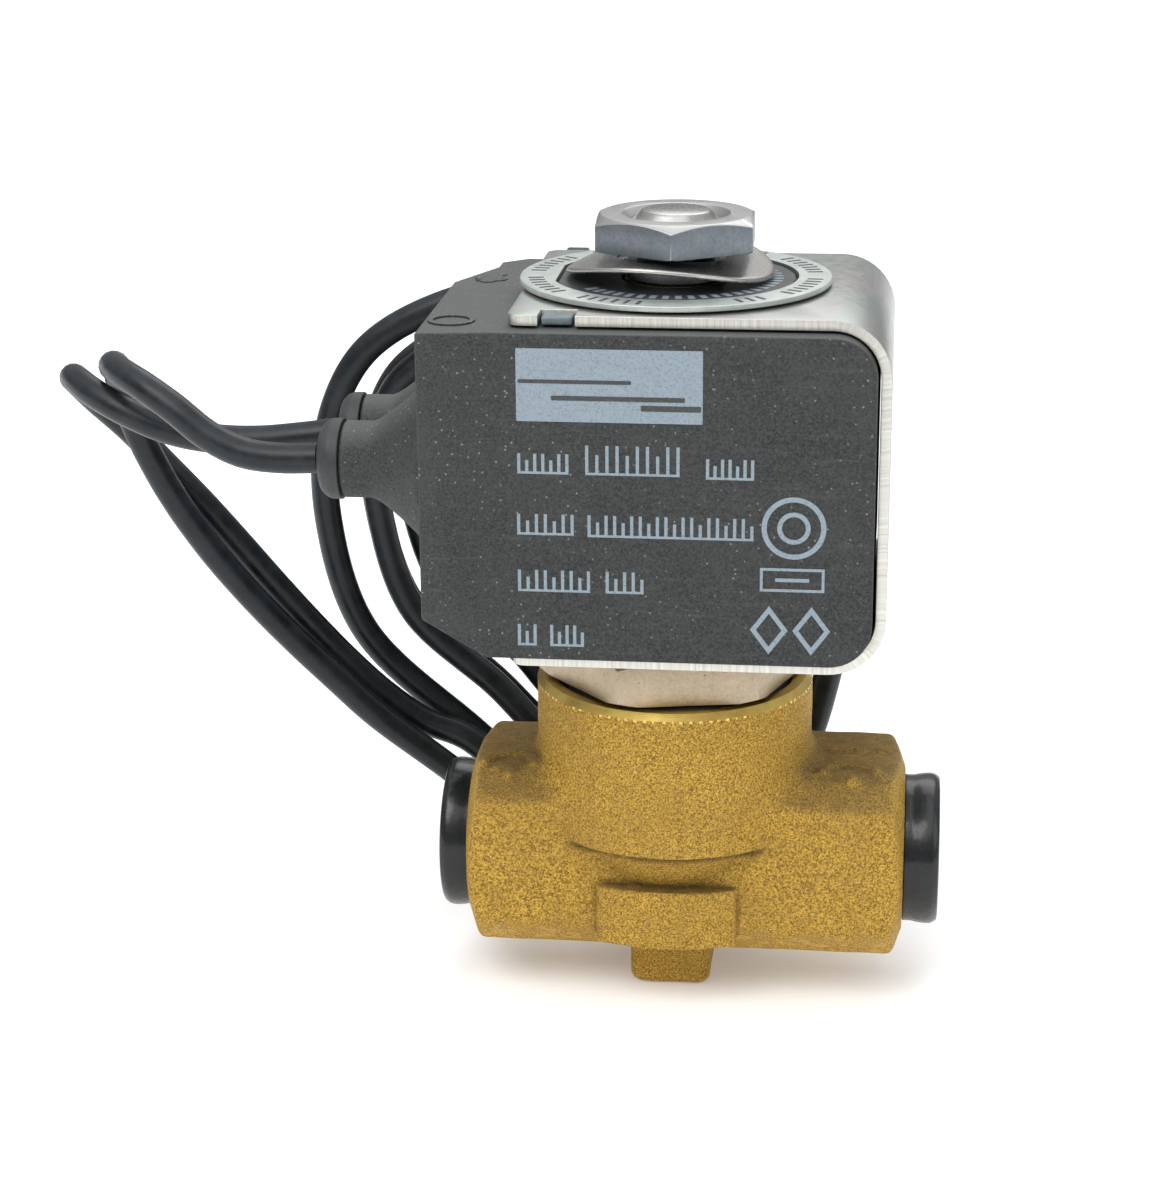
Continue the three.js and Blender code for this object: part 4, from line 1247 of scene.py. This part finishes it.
def comb(x0, x1, low, high, step):
    """A row of upright ticks of uneven height standing on one line, like a blank scale."""
    count, base, half = round((x1 - x0) / step), 0.26, 0.17
    outline = [(x0 - half, low)]
    for i in range(count + 1):
        x = x0 + (x1 - x0) * i / count
        top = high - (0.32 * (high - low) if i % 3 == 1 else 0)
        if i:
            outline.append((x - half, low + base))
        outline += [(x - half, top), (x + half, top)]
        if i < count:
            outline.append((x + half, low + base))
    outline.append((x1 + half, low))
    return front_mark(outline)


def front_print():
    parts = [front_mark(bar(-15.1, 4.45, 71.0, 78.8))]
    rows = [
        (-14.9, -9.8, 65.3, 67.5, 0.85), (-7.7, 1.9, 65.3, 68.5, 1.05), (5.0, 9.7, 65.1, 67.3, 0.85),
        (-15.0, -9.3, 58.6, 60.9, 0.9), (-7.5, 9.7, 58.5, 60.9, 0.9),
        (-15.0, -7.6, 52.3, 54.7, 0.9), (-5.6, -1.9, 52.3, 54.7, 0.9),
        (-15.1, -13.4, 46.2, 48.6, 0.85), (-11.6, -8.3, 46.2, 48.6, 0.85),
    ]
    parts += [comb(*row) for row in rows]
    for radii in ((3.4, 2.85), (1.75, 1.25)):
        circles = [arc((14.1, 60.0), radius, 0, 360, 48)[:-1] for radius in radii]
        parts.append(front_ring(*circles))
    box = [(10.6, 53.0), (17.4, 53.0), (17.4, 55.6), (10.6, 55.6)]
    parts.append(front_ring(box, [(10.9, 53.3), (17.1, 53.3), (17.1, 55.3), (10.9, 55.3)]))
    parts.append(front_mark(bar(12.2, 15.8, 54.1, 54.5)))
    for x in (11.6, 16.1):
        diamond = [(x - 2.0, 48.7), (x, 46.0), (x + 2.0, 48.7), (x, 51.4)]
        parts.append(front_ring(diamond, scaled(diamond, (x, 48.7), 0.68)))
    ink = joined("front_print", parts)
    return keep_piece(ink, "coil_assembly", [], "coil_plastic", INK)


def panel_lines():
    """Dark lines across the pale panel, one long and two short."""
    spans = [(-14.9, -3.0, 75.1, 75.5), (-2.0, 4.3, 72.3, 72.9), (-11.4, 2.6, 73.3, 73.8)]
    parts = [front_mark(bar(*span), 2 * INK_DEPTH) for span in spans]
    lines = joined("panel_lines", parts)
    return keep_piece(lines, "coil_assembly", [], "coil_plastic", DARK_INK)


def radial_marks(name, radius, length, width, height, angles, material, slot):
    """Short bars pointing at the plunger axis."""
    parts = []
    for angle in angles:
        a = math.radians(angle)
        out, side = Vector((math.cos(a), math.sin(a))), Vector((-math.sin(a), math.cos(a)))
        ends = ((radius, -0.5), (radius + length, -0.5), (radius + length, 0.5), (radius, 0.5))
        outline = [tuple(out * along + side * width * across) for along, across in ends]
        parts.append(prism("mark", outline, height - 0.05, height + INK_DEPTH))
    return keep_piece(joined(name, parts), "coil_assembly", [], slot, material)


def top_marks():
    # the ring's ticks stand in groups and leave its front plain
    ring = [a for a in range(-170, 190, 5) if a % 45 not in (0, 5) and not -100 < a < -60]
    radial_marks("nameplate_scale", 14.5, 1.7, 0.42, PLATE_Z[1], ring, DARK_INK, "nameplate_foil")
    dashes = [a for a in range(-140, 30, 7)] + [a for a in range(60, 150, 9)]
    radial_marks("disc_dashes", 10.3, 1.5, 0.7, DISC_Z[1], dashes, INK, "disc_plastic")


# --------------------------------------------------------------- lead tie


def rounded_box(half_y, half_z, radius, centre):
    y, z = half_y - radius, half_z - radius
    corners = [((y, -z), -90), ((y, z), 0), ((-y, z), 90), ((-y, -z), 180)]
    line = []
    for (cy, cz), start in corners:
        line += arc((centre[0] + cy, centre[1] + cz), radius, start, start + 90, 6)
    return line


def lead_tie():
    x, centre = -14.5, (28.1, 71.8)
    half_y, half_z, band, width = 5.9, 6.8, 0.9, 2.6
    outside = rounded_box(half_y + band, half_z + band, 3.2, centre)
    tie = prism("cable_tie", outside, x - width / 2, x + width / 2, "X")
    inside = prism("inside", rounded_box(half_y, half_z, 2.4, centre), x - width, x + width, "X")
    combine(tie, "DIFFERENCE", inside)
    soften(tie, 0.15, 2, 60)
    under = centre[1] - half_z - band
    head = block("head", x - 2.2, x + 2.2, 24.6, 28.4, under - 1.8, under + 0.4)
    tail = block("tail", x - 1.1, x + 1.1, 26.0, 27.0, under - 5.0, under + 0.2)
    soften(head, 0.35, 3)
    soften(tail, 0.2, 2)
    combine(tie, "UNION", head, tail)
    shade(tie, 35)
    return keep_piece(tie, "coil_assembly", ["lead_tie"], "tie_plastic", TIE_BLACK)


# ------------------------------------------------------------ inner pieces


def return_spring():
    radius, wire, low, high, turns = 1.85, 0.3, 50.8, 61.7, 6
    line, steps = [], 24 * turns
    for i in range(steps + 1):
        t = i / steps
        angle = math.tau * turns * t
        height = low + wire + (high - low - 2 * wire) * t
        line.append((radius * math.cos(angle), radius * math.sin(angle), height))
    coil = curve_object("coil_spring", [line], wire, 3)
    spring = settle_curve(coil, "coil_spring_wire")
    keep_piece(spring, "plunger_assembly", ["return_spring"], "spring_steel", SPRING_STEEL)
    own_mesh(spring)
    return spring


def settle_curve(curve, name):
    """The curve's round bar as a mesh object."""
    mesh = bpy.data.meshes.new_from_object(curve.evaluated_get(bpy.context.evaluated_depsgraph_get()))
    bpy.data.objects.remove(curve)
    return shade(new_object(name, mesh), 40)


INNER_LOOKS = {
    "body_seal": SEAL_BLACK,
    "shading_ring": COPPER,
    "plunger": CORE_STEEL,
    "plunger_seal": SEAL_BLACK,
    "bobbin": INNER_GREY,
    "winding": COPPER_COIL,
    "lower_coil_seal": SEAL_BLACK,
    "upper_coil_seal": SEAL_BLACK,
    "front_lead_crimp": COPPER,
    "rear_lead_crimp": COPPER,
}


def dress_inner_nodes():
    """The CAD solids inside keep their shapes and get rounded edges and materials."""
    for name, material in INNER_LOOKS.items():
        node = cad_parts[name]
        node.data.materials.clear()
        node.data.materials.append(material)
        weld = node.modifiers.new("weld", "WELD")
        weld.merge_threshold = 0.002 * MM
        rounding = node.modifiers.new("rounded edges", "BEVEL")
        rounding.width = 0.08 * MM
        rounding.segments = 2
        rounding.limit_method = "ANGLE"
        rounding.angle_limit = math.radians(50)


# ------------------------------------------------------------ floor, light


def add_floor():
    half, thickness = 3000, 20
    floor = block("floor", -half, half, -half, half, -thickness, 0)
    floor.data.materials.append(FLOOR)


def add_light(name, at, size, power, colour=(1, 1, 1)):
    """A square soft light that faces the valve, with its place and size in metres."""
    data = bpy.data.lights.new(name, "AREA")
    data.size = size
    data.energy = power
    data.color = colour
    light = new_object(name, data)
    light.location = at
    middle = Vector((0, 0, 0.045))
    light.rotation_euler = (middle - Vector(at)).to_track_quat("-Z", "Y").to_euler()


def add_sun():
    """A wide, weak overhead light that keeps the floor even."""
    data = bpy.data.lights.new("sky", "SUN")
    data.energy = 1.1
    data.angle = math.radians(70)
    light = new_object("sky", data)
    light.rotation_euler = (math.radians(18), math.radians(-10), 0)


def add_world():
    """A pale room: bright overhead and dimmer at eye level."""
    world = bpy.data.worlds.new("room")
    bpy.context.scene.world = world
    world.use_nodes = True
    tree = world.node_tree
    background = tree.nodes["Background"]
    place = tree.nodes.new("ShaderNodeTexCoord")
    split = tree.nodes.new("ShaderNodeSeparateXYZ")
    height = tree.nodes.new("ShaderNodeMapRange")
    for key, value in (("From Min", 0.05), ("From Max", 0.75), ("To Min", 0.22), ("To Max", 0.82)):
        height.inputs[key].default_value = value
    tree.links.new(place.outputs["Generated"], split.inputs[0])
    tree.links.new(split.outputs["Z"], height.inputs["Value"])
    tree.links.new(height.outputs["Result"], background.inputs["Strength"])
    background.inputs["Color"].default_value = (0.97, 0.985, 1.0, 1)


# ------------------------------------------------------------------ making

valve_body()
port_plug("left_cover_plug", -1, 0)
port_plug("right_cover_plug", 1, 0.7)
guide_tube()
threaded_stud()
clamp_nut()
spring_washer()
coil_housing()
outlet_cap("front")
outlet_cap("rear")
yoke()
yoke_key()
nameplate()
top_disc()
front_print()
panel_lines()
top_marks()
lead_tie()
return_spring()
dress_inner_nodes()
add_floor()
add_world()
add_sun()
add_light("key", (-0.35, -0.55, 0.75), 0.5, 3.2, (1.0, 0.99, 0.97))
add_light("fill", (0.7, -0.35, 0.45), 0.6, 1.5, (0.97, 0.985, 1.0))
add_light("back", (0.1, 0.7, 0.8), 0.7, 3.0)
bpy.context.scene.view_settings.view_transform = "Standard"
